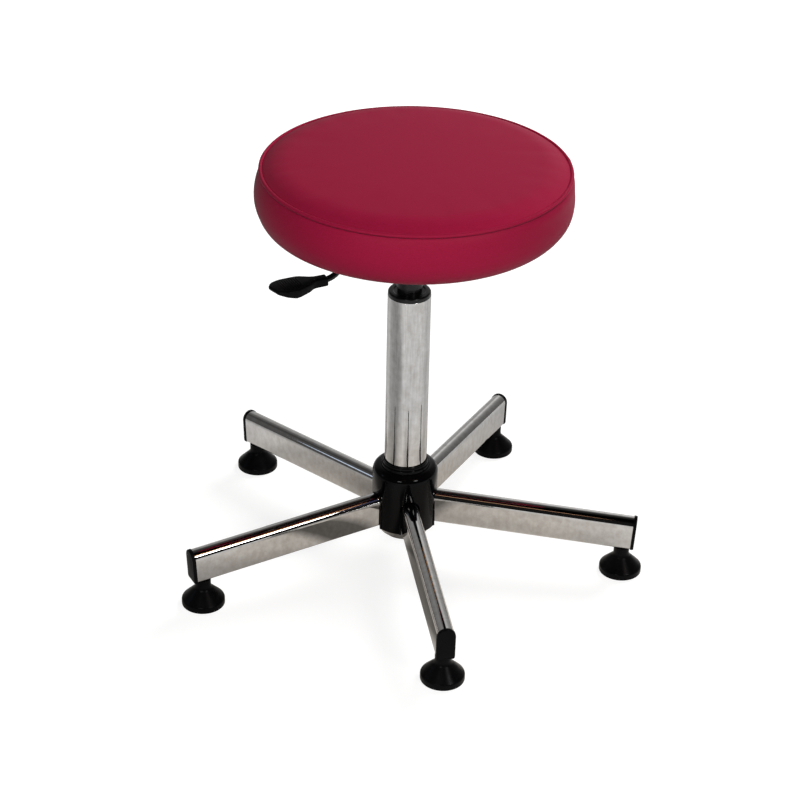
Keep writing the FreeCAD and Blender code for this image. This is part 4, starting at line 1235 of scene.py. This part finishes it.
@dataclass
class Seat:
    """Round padded seat: foam under a vinyl cover with a welted seam.

    Attributes:
        centre: The cushion's centre, a little off the column as sewn covers sit.
        top: Height of the crown.
        crown: Radius of the crown's curve.
        roll: Radius of the roll at the top's edge.
        roll_start: Radius at which the roll begins.
        roll_lean: How far the roll turns down, in degrees.
        rings: Rings of faces from the crown to the roll's end.
        roll_rings: How many of those the roll has.
        groove: Rings of the crease that the welt lies in.
        seam: Where the side's upper edge tucks in under the welt.
        bulge: The side's widest line.
        tuck: Where the side turns under the board.
        upper_rings: Rings from the seam to the widest line.
        lower_rings: Rings from the widest line to the tuck.
        hem: Rings of the cover's edge that is turned in under the board.
        board: Radius and the two heights of the board that the foam wraps.
        hollow: Radius at which the foam closes on the board.
        held_seam: Radius and the two heights of what the seam holds.
        held_under: Height below which the hem is held.
        held_board: Radius and height of what lies against the board.
        lumps: Waves to a metre and height of the foam's unevenness.
        panel_above: Height above which a lump lifts the panel and doesn't push the side out.
        swell: Largest move that the inflating may make.
        taken: Share of that move that the dense foam gives way to.
        dip: Depth, radius and width of the dip behind the welt, and its share at the back.
        dip_beyond: Radius and height beyond which the dip is pressed.
        slid: Height from which the cushion sits off the column, and over which that grows.
        front: Azimuth of the side that faces the camera.
        upper_from: Height from which the top panel's ring is askew, and over which that grows.
        upper_shift: How far the ring was sewn off to the right.
        upper_growth: How much larger than the board's the ring is.
        upper_tilt: Lift of the ring at its middle, and its rise from front to back over one radius.
        low_from: Height from which the side bulges out below, and over which that grows downwards.
        low_beyond: Radius beyond which it does.
        low_turn: Turn from the front to where it does most, in radians.
        low_fullness: How far it bulges out there, and how far it sags.
        welt: Radius and height of the welt's ring.
        welt_radius: Of the welt itself.
        welt_wave: Size of its unevenness, how often it comes, and the share that lifts.
        welt_pattern: Which of the noise's patterns the unevenness takes.
        lap: Size of the step where the welt's ends meet, its width in degrees, and its shares out and up.
        lap_at: Azimuth of that step, in degrees.
        stitch_ring: Radius and height of the stitches' ring.
        stitch_pitch: From stitch to stitch.
        stitch: Radius and length of a stitch, and the bevel of its ends.
    """

    centre: tuple[float, float] = (2.76, -0.49)
    top: float = 514.8
    crown: float = 8000.0
    roll: float = 52.0
    roll_start: float = 139.5
    roll_lean: float = 35.9
    rings: int = 36
    roll_rings: int = 10
    groove: tuple[Ring, ...] = ((169.3, 503.2), (168.6, 501.6), (169.4, 500.6), (170.6, 500.7))
    seam: Ring = (172.0, 501.0)
    bulge: Ring = (178.6, 472.5)
    tuck: Ring = (153.7, 437.5)
    upper_rings: int = 7
    lower_rings: int = 11
    hem: tuple[Ring, ...] = ((154.2, 437.3), (152.4, 437.1), (147.0, 437.1), (141.0, 437.1), (136.0, 437.1))
    board: tuple[float, float, float] = (152.0, 438.3, 450.3)
    hollow: float = 120.0
    held_seam: tuple[float, float, float] = (166.5, 499.5, 506.5)
    held_under: float = 441.0
    held_board: Ring = (153.0, 455.0)
    lumps: tuple[float, float] = (14.0, 0.5)
    panel_above: float = 495.0
    swell: float = 2.0
    taken: float = 0.2
    dip: tuple[float, float, float, float] = (0.5, 165.5, 2.6, 0.35)
    dip_beyond: Ring = (120.0, 503.0)
    slid: tuple[float, float] = (442.0, 15.0)
    front: float = -100.3
    upper_from: tuple[float, float] = (482.0, 16.0)
    upper_shift: float = 1.3
    upper_growth: float = 1.2
    upper_tilt: tuple[float, float] = (-0.45, 1.05)
    low_from: tuple[float, float] = (468.0, -20.0)
    low_beyond: float = 150.5
    low_turn: float = 0.75
    low_fullness: tuple[float, float] = (2.2, 0.6)
    welt: Ring = (171.16, 503.2)
    welt_radius: float = 2.2
    welt_wave: tuple[float, float, float] = (0.16, 5.0, 0.7)
    welt_pattern: float = 3.0
    lap: tuple[float, float, float, float] = (0.7, 1.2, 0.5, 0.4)
    lap_at: float = 0.0
    stitch_ring: Ring = (172.3, 501.0)
    stitch_pitch: float = 2.8
    stitch: tuple[float, float, float] = (0.42, 1.7, 0.18)

    def build(self, shop: Shop) -> None:
        """Make the cushion, its welt and its stitches.

        Args:
            shop: Dresses and delivers the pieces.
        """
        cushion = self.cushion()
        self.inflate(cushion)
        self.settle(cushion)
        cushion.modifiers.new("fine", "SUBSURF")
        cushion.modifiers["fine"].levels = cushion.modifiers["fine"].render_levels = 1
        apply_all(cushion)
        smooth(cushion, angle=60.0)
        shop.deliver(
            cushion, VINYL, "seat", ["seat_foam", "seat_cover_top", "seat_cover_side"]
        )
        welt = self.make_welt()
        shop.deliver(welt, VINYL, "seat", ["seat_piping"])
        shop.deliver(self.stitches(), THREAD_IN_PAINTED_SHADE, "seat")

    def arc(self, start: Ring, end: Ring, count: int) -> list[Ring]:
        """List rings on the arc that leaves the widest line upright.

        Args:
            start: Ring on the widest line.
            end: The arc's other end.
            count: Number of rings after the start.

        Returns:
            The rings from the start on, without it.
        """
        inset = start[0] - end[0]
        fall = start[1] - end[1]
        radius = (inset * inset + fall * fall) / (2 * inset)
        sweep = math.asin(fall / radius)
        rings = []
        for step in range(1, count + 1):
            angle = sweep * step / count
            rings.append((start[0] - radius + radius * math.cos(angle), start[1] - radius * math.sin(angle)))
        return rings

    def height(self, radius: float) -> float:
        """Give the height of the top panel over its crown, before the roll."""
        return self.top - self.crown + math.sqrt(self.crown**2 - radius**2)

    def on_roll(self, share: float) -> Ring:
        """Work out a ring of the roll.

        Args:
            share: How far down the roll it lies, from 0 to 1.

        Returns:
            The ring.
        """
        lean = math.radians(self.roll_lean) * share
        height = self.height(self.roll_start) - self.roll + self.roll * math.cos(lean)
        return self.roll_start + self.roll * math.sin(lean), height

    def cushion(self) -> bpy.types.Object:
        """Draw the closed form: the top from a grid pulled round, the side and hem from its rim.

        Returns:
            The cushion before it is inflated, about the origin.
        """
        cells = 2 * self.rings
        deselect()
        bpy.ops.mesh.primitive_grid_add(x_subdivisions=cells, y_subdivisions=cells, size=2)
        piece = named("seat_cushion")
        crown_rings = self.rings - self.roll_rings
        for vertex in piece.data.vertices:
            x, y = vertex.co.x, vertex.co.y
            number = max(abs(x), abs(y)) * self.rings
            if number < 0.5:
                vertex.co = point(0, 0, self.top)
                continue
            if abs(x) >= abs(y):
                angle = math.pi / 4 * y / x + (math.pi if x < 0 else 0.0)
            else:
                angle = math.pi / 2 - math.pi / 4 * x / y + (math.pi if y < 0 else 0.0)
            if number < crown_rings + 0.5:
                radius = self.roll_start * number / crown_rings
                height = self.height(radius)
            else:
                radius, height = self.on_roll((number - crown_rings) / self.roll_rings)
            vertex.co = point(radius * math.cos(angle), radius * math.sin(angle), height)
        board_radius, board_low, board_high = self.board
        inside = [
            (self.hem[-1][0], board_low),
            (board_radius, board_low),
            (board_radius, board_high),
            (self.hollow, board_high),
        ]
        mirrored_seam = (self.seam[0], 2 * self.bulge[1] - self.seam[1])
        upper = [
            (radius, 2 * self.bulge[1] - height)
            for radius, height in reversed(self.arc(self.bulge, mirrored_seam, self.upper_rings))
        ]
        lower = self.arc(self.bulge, self.tuck, self.lower_rings)
        self.follow(piece, self.on_roll(1.0), [*self.groove, *upper, self.bulge, *lower, *self.hem, *inside])
        return piece

    def follow(self, piece: bpy.types.Object, start: Ring, route: Sequence[Ring]) -> None:
        """Extrude the rim of the cushion from ring to ring and close it inside.

        Args:
            piece: The cushion's grid.
            start: The rim.
            route: Each ring in turn.
        """
        activate(piece)
        open_mesh()
        pick(piece, Grain.EDGE, lambda item: item.is_boundary)
        radius, height = start
        for next_radius, next_height in route:
            bpy.ops.mesh.extrude_region_move(
                TRANSFORM_OT_translate={"value": point(0, 0, next_height - height)}
            )
            share = next_radius / radius
            bpy.ops.transform.resize(value=(share, share, 1.0), center_override=point(0, 0, next_height))
            radius, height = next_radius, next_height
        bpy.ops.mesh.fill_grid(span=2 * self.rings)
        close_mesh()

    def on_board(self, place: Vector) -> bool:
        """Say whether a place in millimetres lies against the board."""
        return math.hypot(place.x, place.y) < self.held_board[0] and place.z < self.held_board[1]

    def hold(self, piece: bpy.types.Object) -> bpy.types.VertexGroup:
        """Mark what the seam and the board hold.

        Args:
            piece: The cushion.

        Returns:
            The group of what is held.
        """
        held = piece.vertex_groups.new(name="held")
        radius, low, high = self.held_seam
        for vertex in piece.data.vertices:
            place = vertex.co * 1000
            in_seam = math.hypot(place.x, place.y) > radius and low < place.z < high
            if in_seam or place.z < self.held_under or self.on_board(place):
                held.add([vertex.index], 1.0, "REPLACE")
        return held

    def inflate(self, piece: bpy.types.Object) -> None:
        """Blow the cushion up as cloth, held at its seam and under the board.

        Args:
            piece: The cushion.
        """
        start = [vertex.co.copy() for vertex in piece.data.vertices]
        held = self.hold(piece)
        waves, lump = self.lumps
        for vertex in piece.data.vertices:
            shift = noise.noise(vertex.co * waves) * mm(lump)
            on_panel = vertex.co.z > mm(self.panel_above)
            vertex.co += Vector((0, 0, shift)) if on_panel else vertex.co.normalized() * shift
        activate(piece)
        bpy.ops.object.modifier_add(type="CLOTH")
        cloth = piece.modifiers[-1]
        for key, value in COVER_CLOTH.items():
            setattr(cloth.settings, key, value)
        cloth.settings.vertex_group_mass = held.name
        cloth.settings.effector_weights.gravity = 0.0
        cloth.point_cache.frame_start = 1
        cloth.point_cache.frame_end = COVER_FRAMES
        scene = bpy.context.scene
        for frame_number in range(1, COVER_FRAMES + 1):
            scene.frame_set(frame_number)
        seen = piece.evaluated_get(bpy.context.evaluated_depsgraph_get())
        moved = [vertex.co.copy() for vertex in seen.data.vertices]
        bpy.ops.object.modifier_remove(modifier=cloth.name)
        scene.frame_set(1)
        largest = 0.0
        for vertex, before, after in zip(piece.data.vertices, start, moved):
            step = (after - before) * self.taken
            largest = max(largest, step.length)
            if step.length > mm(self.swell):
                step *= mm(self.swell) / step.length
            vertex.co = before + step
        log.info("cushion inflated, largest move %.2f mm", largest * 1000)

    def settle(self, piece: bpy.types.Object) -> None:
        """Press the dip behind the welt and move the cushion over its board.

        Args:
            piece: The cushion.
        """
        front = Vector((math.cos(math.radians(self.front)), math.sin(math.radians(self.front)), 0))
        depth, middle, wide, at_back = self.dip
        for vertex in piece.data.vertices:
            place = vertex.co * 1000
            radius = math.hypot(place.x, place.y)
            if radius > self.dip_beyond[0] and place.z > self.dip_beyond[1]:
                facing = 0.5 + 0.5 * (vertex.co.x * front.x + vertex.co.y * front.y) / mm(radius)
                deep = depth * (at_back + (1 - at_back) * facing)
                vertex.co.z -= mm(deep * math.exp(-(((radius - middle) / wide) ** 2)))
            if not self.on_board(place):
                share = share_of(place.z, *self.slid)
                vertex.co.x += mm(self.centre[0]) * share
                vertex.co.y += mm(self.centre[1]) * share
        self.sew_askew(piece)

    def sew_askew(self, piece: bpy.types.Object) -> None:
        """Set the upper ring a little larger and off to one side, and let the lower side sag.

        Args:
            piece: The cushion, the welt or the stitches.
        """
        front = math.radians(self.front)
        across = Vector((-math.sin(front), math.cos(front), 0))
        away = Vector((-math.cos(front), -math.sin(front), 0))
        fullest = Vector((math.cos(front + self.low_turn), math.sin(front + self.low_turn), 0))
        level, rise = self.upper_tilt
        out, down = self.low_fullness
        for vertex in piece.data.vertices:
            place = vertex.co * 1000
            share = share_of(place.z, *self.upper_from)
            share = share * share * (3 - 2 * share)
            flat = Vector((vertex.co.x, vertex.co.y, 0))
            if share > 0.0:
                back = flat.dot(away) / mm(self.welt[0])
                grown = self.upper_growth * flat.length / mm(self.welt[0])
                vertex.co += across * mm(self.upper_shift * share) + flat.normalized() * mm(grown * share)
                vertex.co.z += mm(share * (level + rise * back))
            elif place.z < self.low_from[0] and flat.length > mm(self.low_beyond):
                low = share_of(place.z, *self.low_from)
                facing = max(0.0, flat.normalized().dot(fullest)) ** 2
                vertex.co += flat.normalized() * mm(out * low * facing)
                vertex.co.z -= mm(down * low * facing)

    def make_welt(self) -> bpy.types.Object:
        """Make the welt: a covered cord with a slight waviness and the step where its ends meet.

        Returns:
            The welt.
        """
        deselect()
        bpy.ops.mesh.primitive_torus_add(
            major_segments=288,
            minor_segments=14,
            major_radius=mm(self.welt[0]),
            minor_radius=mm(self.welt_radius),
            location=point(self.centre[0], self.centre[1], self.welt[1]),
        )
        piece = named("seat_welt")
        apply_all(piece)
        wave_size, wave_turns, wave_up = self.welt_wave
        lap_size, lap_width, lap_out, lap_up = self.lap
        for vertex in piece.data.vertices:
            x = vertex.co.x - mm(self.centre[0])
            y = vertex.co.y - mm(self.centre[1])
            angle = math.atan2(y, x)
            radius = math.hypot(x, y)
            away = (math.degrees(angle) - self.lap_at + 180.0) % 360.0 - 180.0
            step = lap_size * math.exp(-((away / lap_width) ** 2))
            spot = Vector((math.cos(angle) * wave_turns, math.sin(angle) * wave_turns, self.welt_pattern))
            wave = wave_size * noise.noise(spot)
            share = (radius + mm(step * lap_out + wave)) / radius
            vertex.co.x = mm(self.centre[0]) + x * share
            vertex.co.y = mm(self.centre[1]) + y * share
            vertex.co.z += mm(wave * wave_up + step * lap_up)
        self.sew_askew(piece)
        smooth(piece, angle=60.0)
        return piece

    def stitches(self) -> bpy.types.Object:
        """Lay the row of stitches in the crease under the welt.

        Returns:
            One mesh with all the stitches.
        """
        radius, height = self.stitch_ring
        thick, length, bevel = self.stitch
        deselect()
        bpy.ops.mesh.primitive_cylinder_add(
            vertices=6,
            radius=mm(thick),
            depth=mm(length),
            location=point(self.centre[0] + radius, self.centre[1], height),
            rotation=(math.pi / 2, 0, 0),
        )
        piece = named("seam_stitches")
        apply_all(piece)
        open_mesh()
        bpy.ops.mesh.bevel(offset=mm(bevel), segments=1, affect="EDGES")
        bpy.ops.mesh.select_all(action="SELECT")
        bpy.ops.mesh.spin(
            steps=round(math.tau * radius / self.stitch_pitch),
            angle=math.tau,
            center=point(*self.centre, height),
            axis=(0, 0, 1),
            dupli=True,
        )
        close_mesh()
        self.sew_askew(piece)
        smooth(piece, angle=60.0)
        return piece


@dataclass(frozen=True)
class Lamp:
    """A soft oval lamp that faces the stool.

    Attributes:
        name: Of the lamp.
        azimuth: Where it hangs, in degrees about the column.
        elevation: Over the horizon, in degrees.
        width: Across the lamp, in metres.
        height: Up the lamp, in metres.
        power: In watts.
        colour: Of its light, sRGB hex.
        shows: Whether polished pieces mirror it.
        distance: From what it faces, in metres.
        aim: Height that it faces, in millimetres.
    """

    name: str
    azimuth: float
    elevation: float
    width: float
    height: float
    power: float
    colour: str = "#FFFFFF"
    shows: bool = True
    distance: float = 2.4
    aim: float = 300.0

    def hang(self) -> None:
        """Make the lamp and turn it to the stool."""
        data = bpy.data.lights.new(self.name, "AREA")
        data.shape = "ELLIPSE"
        data.size = self.width
        data.size_y = self.height
        data.energy = self.power
        data.color = linear(self.colour)[:3]
        lamp = bpy.data.objects.new(self.name, data)
        lamp.visible_glossy = self.shows
        bpy.context.scene.collection.objects.link(lamp)
        angle, rise = math.radians(self.azimuth), math.radians(self.elevation)
        away = Vector((math.cos(angle) * math.cos(rise), math.sin(angle) * math.cos(rise), math.sin(rise)))
        lamp.location = point(0, 0, self.aim) + away * self.distance
        lamp.rotation_euler = away.to_track_quat("Z", "Y").to_euler()


@dataclass
class Studio:
    """White sweep, soft lamps and the camera of the photograph.

    Attributes:
        eye: Place of the camera, in millimetres.
        azimuth: Turn of the camera about the upright, in degrees.
        elevation: How far the camera looks down, in degrees.
        roll: Turn of the camera about its own line of sight, in degrees.
        lens: Focal length for a 36 mm frame.
        floor_size: Side of the floor, in metres.
        floor_drop: How far the floor lies under the glides, in millimetres.
        ambient: Strength of the soft light from all round.
        painted_light_levels: How light the floor is painted in reflections, brighter where lit and darker
            where shaded, as azimuth about the column and level.
        painted_shadows: Painted shadows on the floor in reflections, as darker patches given by place, half
            lengths, turn and level.
        painted_shadow_reach: How far such a painted shadow fades out, in its half lengths.
        walls: How light the room is in reflections, as azimuth and level.
        wall_fall: How that light falls off with the sine of the height.
        lamps: Two round ones that polished pieces show, two unseen ones for fill, and faint tinted glints.
    """

    eye: tuple[float, float, float] = (-396.1, -2183.1, 1479.1)
    azimuth: float = -10.075
    elevation: float = 29.8249
    roll: float = 1.2956
    lens: float = 98.1765
    floor_size: float = 12.0
    floor_drop: float = 0.2
    ambient: float = 0.10
    # Painted light and shade on the floor, seen only in reflections: lighter and darker by azimuth round the
    # column.
    painted_light_levels: tuple[tuple[float, float], ...] = (
        (-180.0, 0.46), (-160.0, 0.42), (-148.0, 0.58), (-134.0, 0.86), (-118.0, 0.88), (-92.0, 0.76),
        (-60.0, 0.81), (-40.0, 0.82), (-15.0, 0.76), (10.0, 0.58), (36.0, 0.66), (50.0, 0.56),
        (80.0, 0.55), (105.0, 0.58), (125.0, 0.70), (141.0, 0.78), (158.0, 0.56), (178.0, 0.46),
    )
    # Painted shadows, seen only in reflections: of the front arm, of the left-front arm, and a broad darker
    # patch far to the front left.
    painted_shadows: tuple[tuple[float, float, float, float, float, float], ...] = (
        (-32.0, -95.0, 115.0, 30.0, 90.0, 0.24),
        (-170.0, 6.0, 62.0, 16.0, 198.0, 0.5),
        (-430.0, -360.0, 190.0, 110.0, 40.0, 0.72),
    )
    painted_shadow_reach: float = 1.5
    walls: tuple[tuple[float, float], ...] = (
        (-180.0, 0.10), (-165.0, 0.05), (-150.0, 0.012), (-30.0, 0.012), (-10.0, 0.08), (5.0, 0.13),
        (20.0, 0.16), (35.0, 0.22), (50.0, 0.33), (58.0, 0.48), (66.0, 0.72), (71.0, 0.85),
        (76.0, 0.70), (80.0, 0.45), (90.0, 0.42), (103.0, 0.30), (115.0, 0.30), (128.0, 0.24),
        (134.0, 0.14), (160.0, 0.12), (180.0, 0.10),
    )
    wall_fall: tuple[tuple[float, float], ...] = (
        (0.0, 1.0), (0.55, 1.0), (0.67, 0.6), (0.77, 0.25), (0.87, 0.08), (1.0, 0.05),
    )
    lamps: tuple[Lamp, ...] = (
        Lamp("lamp_left", -119.0, 22.6, 0.50, 0.20, 6.0),
        Lamp("lamp_right", -59.5, 28.5, 0.50, 0.50, 11.0),
        Lamp("key_light", -101.0, 26.0, 0.9, 0.9, 27.0, shows=False),
        Lamp("sweep_glow", 42.0, 33.0, 1.8, 1.4, 90.0, shows=False, distance=3.0),
        Lamp("window_glint", -107.0, 46.0, 0.7, 0.21, 0.28, "#FFC49A"),
        Lamp("strip_warm", -58.0, 43.0, 0.7, 0.25, 0.9, "#FFB878"),
        Lamp("strip_blue", -46.0, 33.0, 0.6, 0.35, 0.1, "#6C86E8"),
        Lamp("strip_far", 171.0, 20.0, 0.5, 0.42, 0.6, "#CFE2FF"),
    )

    def build(self) -> None:
        """Make the camera, the floor, the world and the lamps."""
        self.camera()
        self.floor()
        self.world()
        for lamp in self.lamps:
            lamp.hang()
        bpy.context.scene.view_settings.view_transform = "Standard"
        log.info("studio is set, with %d lamps", len(self.lamps))

    def camera(self) -> None:
        """Place the camera at the photograph's angle."""
        data = bpy.data.cameras.new("photo_camera")
        data.lens = self.lens
        data.sensor_width = 36.0
        data.clip_end = 100.0
        camera = bpy.data.objects.new("photo_camera", data)
        bpy.context.scene.collection.objects.link(camera)
        place = Matrix.Translation(point(*self.eye))
        for angle, axis in ((self.azimuth, "Z"), (90.0 - self.elevation, "X"), (self.roll, "Z")):
            place = place @ Matrix.Rotation(math.radians(angle), 4, axis)
        camera.matrix_world = place
        bpy.context.scene.camera = camera

    def paint_floor_light(self, tree: bpy.types.NodeTree, where: bpy.types.Node, near: bpy.types.Node) -> Wire:
        """Paint light and shade on the floor as polished pieces mirror it: painted light round the column,
        with painted shadows as darker patches.

        Args:
            tree: The floor's nodes.
            where: Its coordinates.
            near: Its gradient from the column outwards.

        Returns:
            The wire of the painted colour.
        """
        around = add_node(
            tree, "ShaderNodeTexGradient", wires={"Vector": (where, "Object")}, gradient_type="RADIAL"
        )
        # Painted light and shade round the column, by azimuth.
        painted_light_levels = add_node(
            tree, "ShaderNodeValToRGB", wires={0: (around, "Fac")}, stops=stops_round(self.painted_light_levels)
        )
        warmth = add_node(
            tree,
            "ShaderNodeValToRGB",
            wires={0: (near, "Fac")},
            stops=((0.78, "#FFFFFF"), (0.90, "#FFF8EF")),
        )
        cloud = add_node(
            tree, "ShaderNodeTexNoise", {"Scale": 9.0, "Detail": 3.0}, {"Vector": (where, "Object")}
        )
        patch = add_node(
            tree,
            "ShaderNodeMapRange",
            {"From Min": 0.3, "From Max": 0.7, "To Min": 0.86, "To Max": 1.1},
            {"Value": (cloud, "Fac")},
        )
        factors: list[Wire] = [(warmth, "Color"), (patch, "Result")]
        # Each painted shadow darkens the floor's painted light inside a soft oval.
        for x, y, along, across, turn, level in self.painted_shadows:
            spot = add_node(
                tree,
                "ShaderNodeMapping",
                {
                    "Location": point(x, y, 0),
                    "Rotation": (0.0, 0.0, math.radians(turn)),
                    "Scale": (mm(along * self.painted_shadow_reach), mm(across * self.painted_shadow_reach), 1.0),
                },
                {"Vector": (where, "Object")},
                vector_type="TEXTURE",
            )
            soft = add_node(
                tree, "ShaderNodeTexGradient", wires={"Vector": (spot, "Vector")}, gradient_type="SPHERICAL"
            )
            shade = add_node(
                tree,
                "ShaderNodeValToRGB",
                wires={0: (soft, "Fac")},
                stops=((0.0, "#FFFFFF"), (0.5, grey(level))),
            )
            factors.append((shade, "Color"))
        painted_floor_light: Wire = (painted_light_levels, "Color")
        for factor in factors:
            product = add_node(
                tree, "ShaderNodeVectorMath", wires={0: painted_floor_light, 1: factor}, operation="MULTIPLY"
            )
            painted_floor_light = (product, "Vector")
        return painted_floor_light

    def floor(self) -> None:
        """Lay the paper floor: white to the camera with its shadow, and where mirrored, glowing with painted
        light and painted shadows.
        """
        deselect()
        bpy.ops.mesh.primitive_plane_add(size=self.floor_size, location=point(0, 0, -self.floor_drop))
        floor = named("studio_floor")
        material = bpy.data.materials.new("paper_sweep_white")
        material.use_nodes = True
        tree = material.node_tree
        tree.nodes.clear()
        where = add_node(tree, "ShaderNodeTexCoord")
        spread = add_node(
            tree, "ShaderNodeVectorMath", {"Scale": 0.55}, {0: (where, "Object")}, operation="SCALE"
        )
        near = add_node(
            tree, "ShaderNodeTexGradient", wires={"Vector": (spread, "Vector")}, gradient_type="SPHERICAL"
        )
        lift = add_node(
            tree,
            "ShaderNodeMapRange",
            {"From Min": 0.2, "From Max": 0.95, "To Min": 1.65, "To Max": 1.28},
            {"Value": (near, "Fac")},
        )
        paper = add_node(tree, "ShaderNodeBsdfDiffuse", {"Color": linear("#E9E8E6")})
        glow = add_node(tree, "ShaderNodeEmission", wires={"Strength": (lift, "Result")})
        seen = add_node(
            tree, "ShaderNodeMixShader", {"Fac": 0.6}, {1: (paper, "BSDF"), 2: (glow, "Emission")}
        )
        painted_floor_light = self.paint_floor_light(tree, where, near)
        # Where mirrored, the floor glows with its painted light and shade, so polished pieces show painted
        # reflections of it.
        painted_floor_paper = add_node(tree, "ShaderNodeBsdfDiffuse", wires={"Color": painted_floor_light})
        painted_floor_glow = add_node(tree, "ShaderNodeEmission", wires={"Color": painted_floor_light})
        mirrored = add_node(
            tree, "ShaderNodeMixShader", {"Fac": 0.45}, {1: (painted_floor_paper, "BSDF"), 2: (painted_floor_glow, "Emission")}
        )
        dim = add_node(tree, "ShaderNodeBsdfDiffuse", {"Color": linear("#8A8784")})
        surface = by_ray(tree, plain=(dim, "BSDF"), mirrored=(mirrored, "Shader"), seen=(seen, "Shader"))
        add_node(tree, "ShaderNodeOutputMaterial", wires={"Surface": surface})
        floor.data.materials.append(material)

    def world(self) -> None:
        """Surround the stool with a lit sweep behind and a dark room in front, as polished pieces see it."""
        world = bpy.data.worlds.new("studio_room")
        bpy.context.scene.world = world
        world.use_nodes = True
        tree = world.node_tree
        tree.nodes.clear()
        where = add_node(tree, "ShaderNodeTexCoord")
        around = add_node(
            tree, "ShaderNodeTexGradient", wires={"Vector": (where, "Generated")}, gradient_type="RADIAL"
        )
        walls = add_node(
            tree, "ShaderNodeValToRGB", wires={0: (around, "Fac")}, stops=stops_round(self.walls)
        )
        axes = add_node(tree, "ShaderNodeSeparateXYZ", wires={0: (where, "Generated")})
        fall = add_node(
            tree,
            "ShaderNodeValToRGB",
            wires={0: (axes, "Z")},
            stops=[(height, grey(level)) for height, level in self.wall_fall],
        )
        shade = add_node(
            tree,
            "ShaderNodeVectorMath",
            wires={0: (walls, "Color"), 1: (fall, "Color")},
            operation="MULTIPLY",
        )
        room = add_node(tree, "ShaderNodeBackground", {"Strength": 1.0}, {"Color": (shade, "Vector")})
        white = linear("#FFFFFF")
        soft = add_node(tree, "ShaderNodeBackground", {"Color": white, "Strength": self.ambient})
        blank = add_node(tree, "ShaderNodeBackground", {"Color": white, "Strength": 1.0})
        surface = by_ray(
            tree, plain=(soft, "Background"), mirrored=(room, "Background"), seen=(blank, "Background")
        )
        add_node(tree, "ShaderNodeOutputWorld", wires={"Surface": surface})


# Which finish each CAD node that stays in view gets, by how its name begins. Longer names come first.
KEPT_NODES: dict[str, Finish] = {
    "glide_stem": ZINC,
    "glide_socket": ACETAL,
    "bearing_race": STEEL,
    "bearing_balls": STEEL,
    "piston_rod": STEEL,
    "piston_seal": RUBBER,
    "piston": ALLOY,
    "bump_stop": RUBBER,
    "clip_washer": ZINC,
    "retaining_clip": ZINC,
    "rod_guide": ACETAL,
    "valve_body": ALLOY,
    "release_pin": ZINC,
    "lever_housing": ENAMEL,
    "lever_rocker": ZINC,
    "pivot_pin": ZINC,
    "seat_plate": ENAMEL,
    "plate_screws": ZINC,
    "tee_nuts": ZINC,
    "seat_board": PLYWOOD,
    "underside_cloth": LINING,
    "staples": ZINC,
}


def dress_kept_nodes(frame: dict[str, object], shop: Shop) -> None:
    """Give every CAD node that stays in view its own finish.

    Args:
        frame: What the frame holds.
        shop: Makes the materials.
    """
    for name, node in frame["nodes"].items():
        if node.hide_render:
            continue
        finish = next((KEPT_NODES[stem] for stem in KEPT_NODES if name.startswith(stem)), STEEL)
        material = shop.material(finish)
        for slot in node.material_slots:
            slot.material = material


def main() -> None:
    """Build the stool around its frame and set the studio."""
    logging.basicConfig(level=logging.INFO, format="%(name)s: %(message)s")
    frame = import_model()
    shop = Shop()
    StarBase().build(shop)
    Hub().build(shop)
    Column().build(shop)
    Lever().build(shop)
    Seat().build(shop)
    dress_kept_nodes(frame, shop)
    Studio().build()
    deselect()


if __name__ == "__main__":
    main()
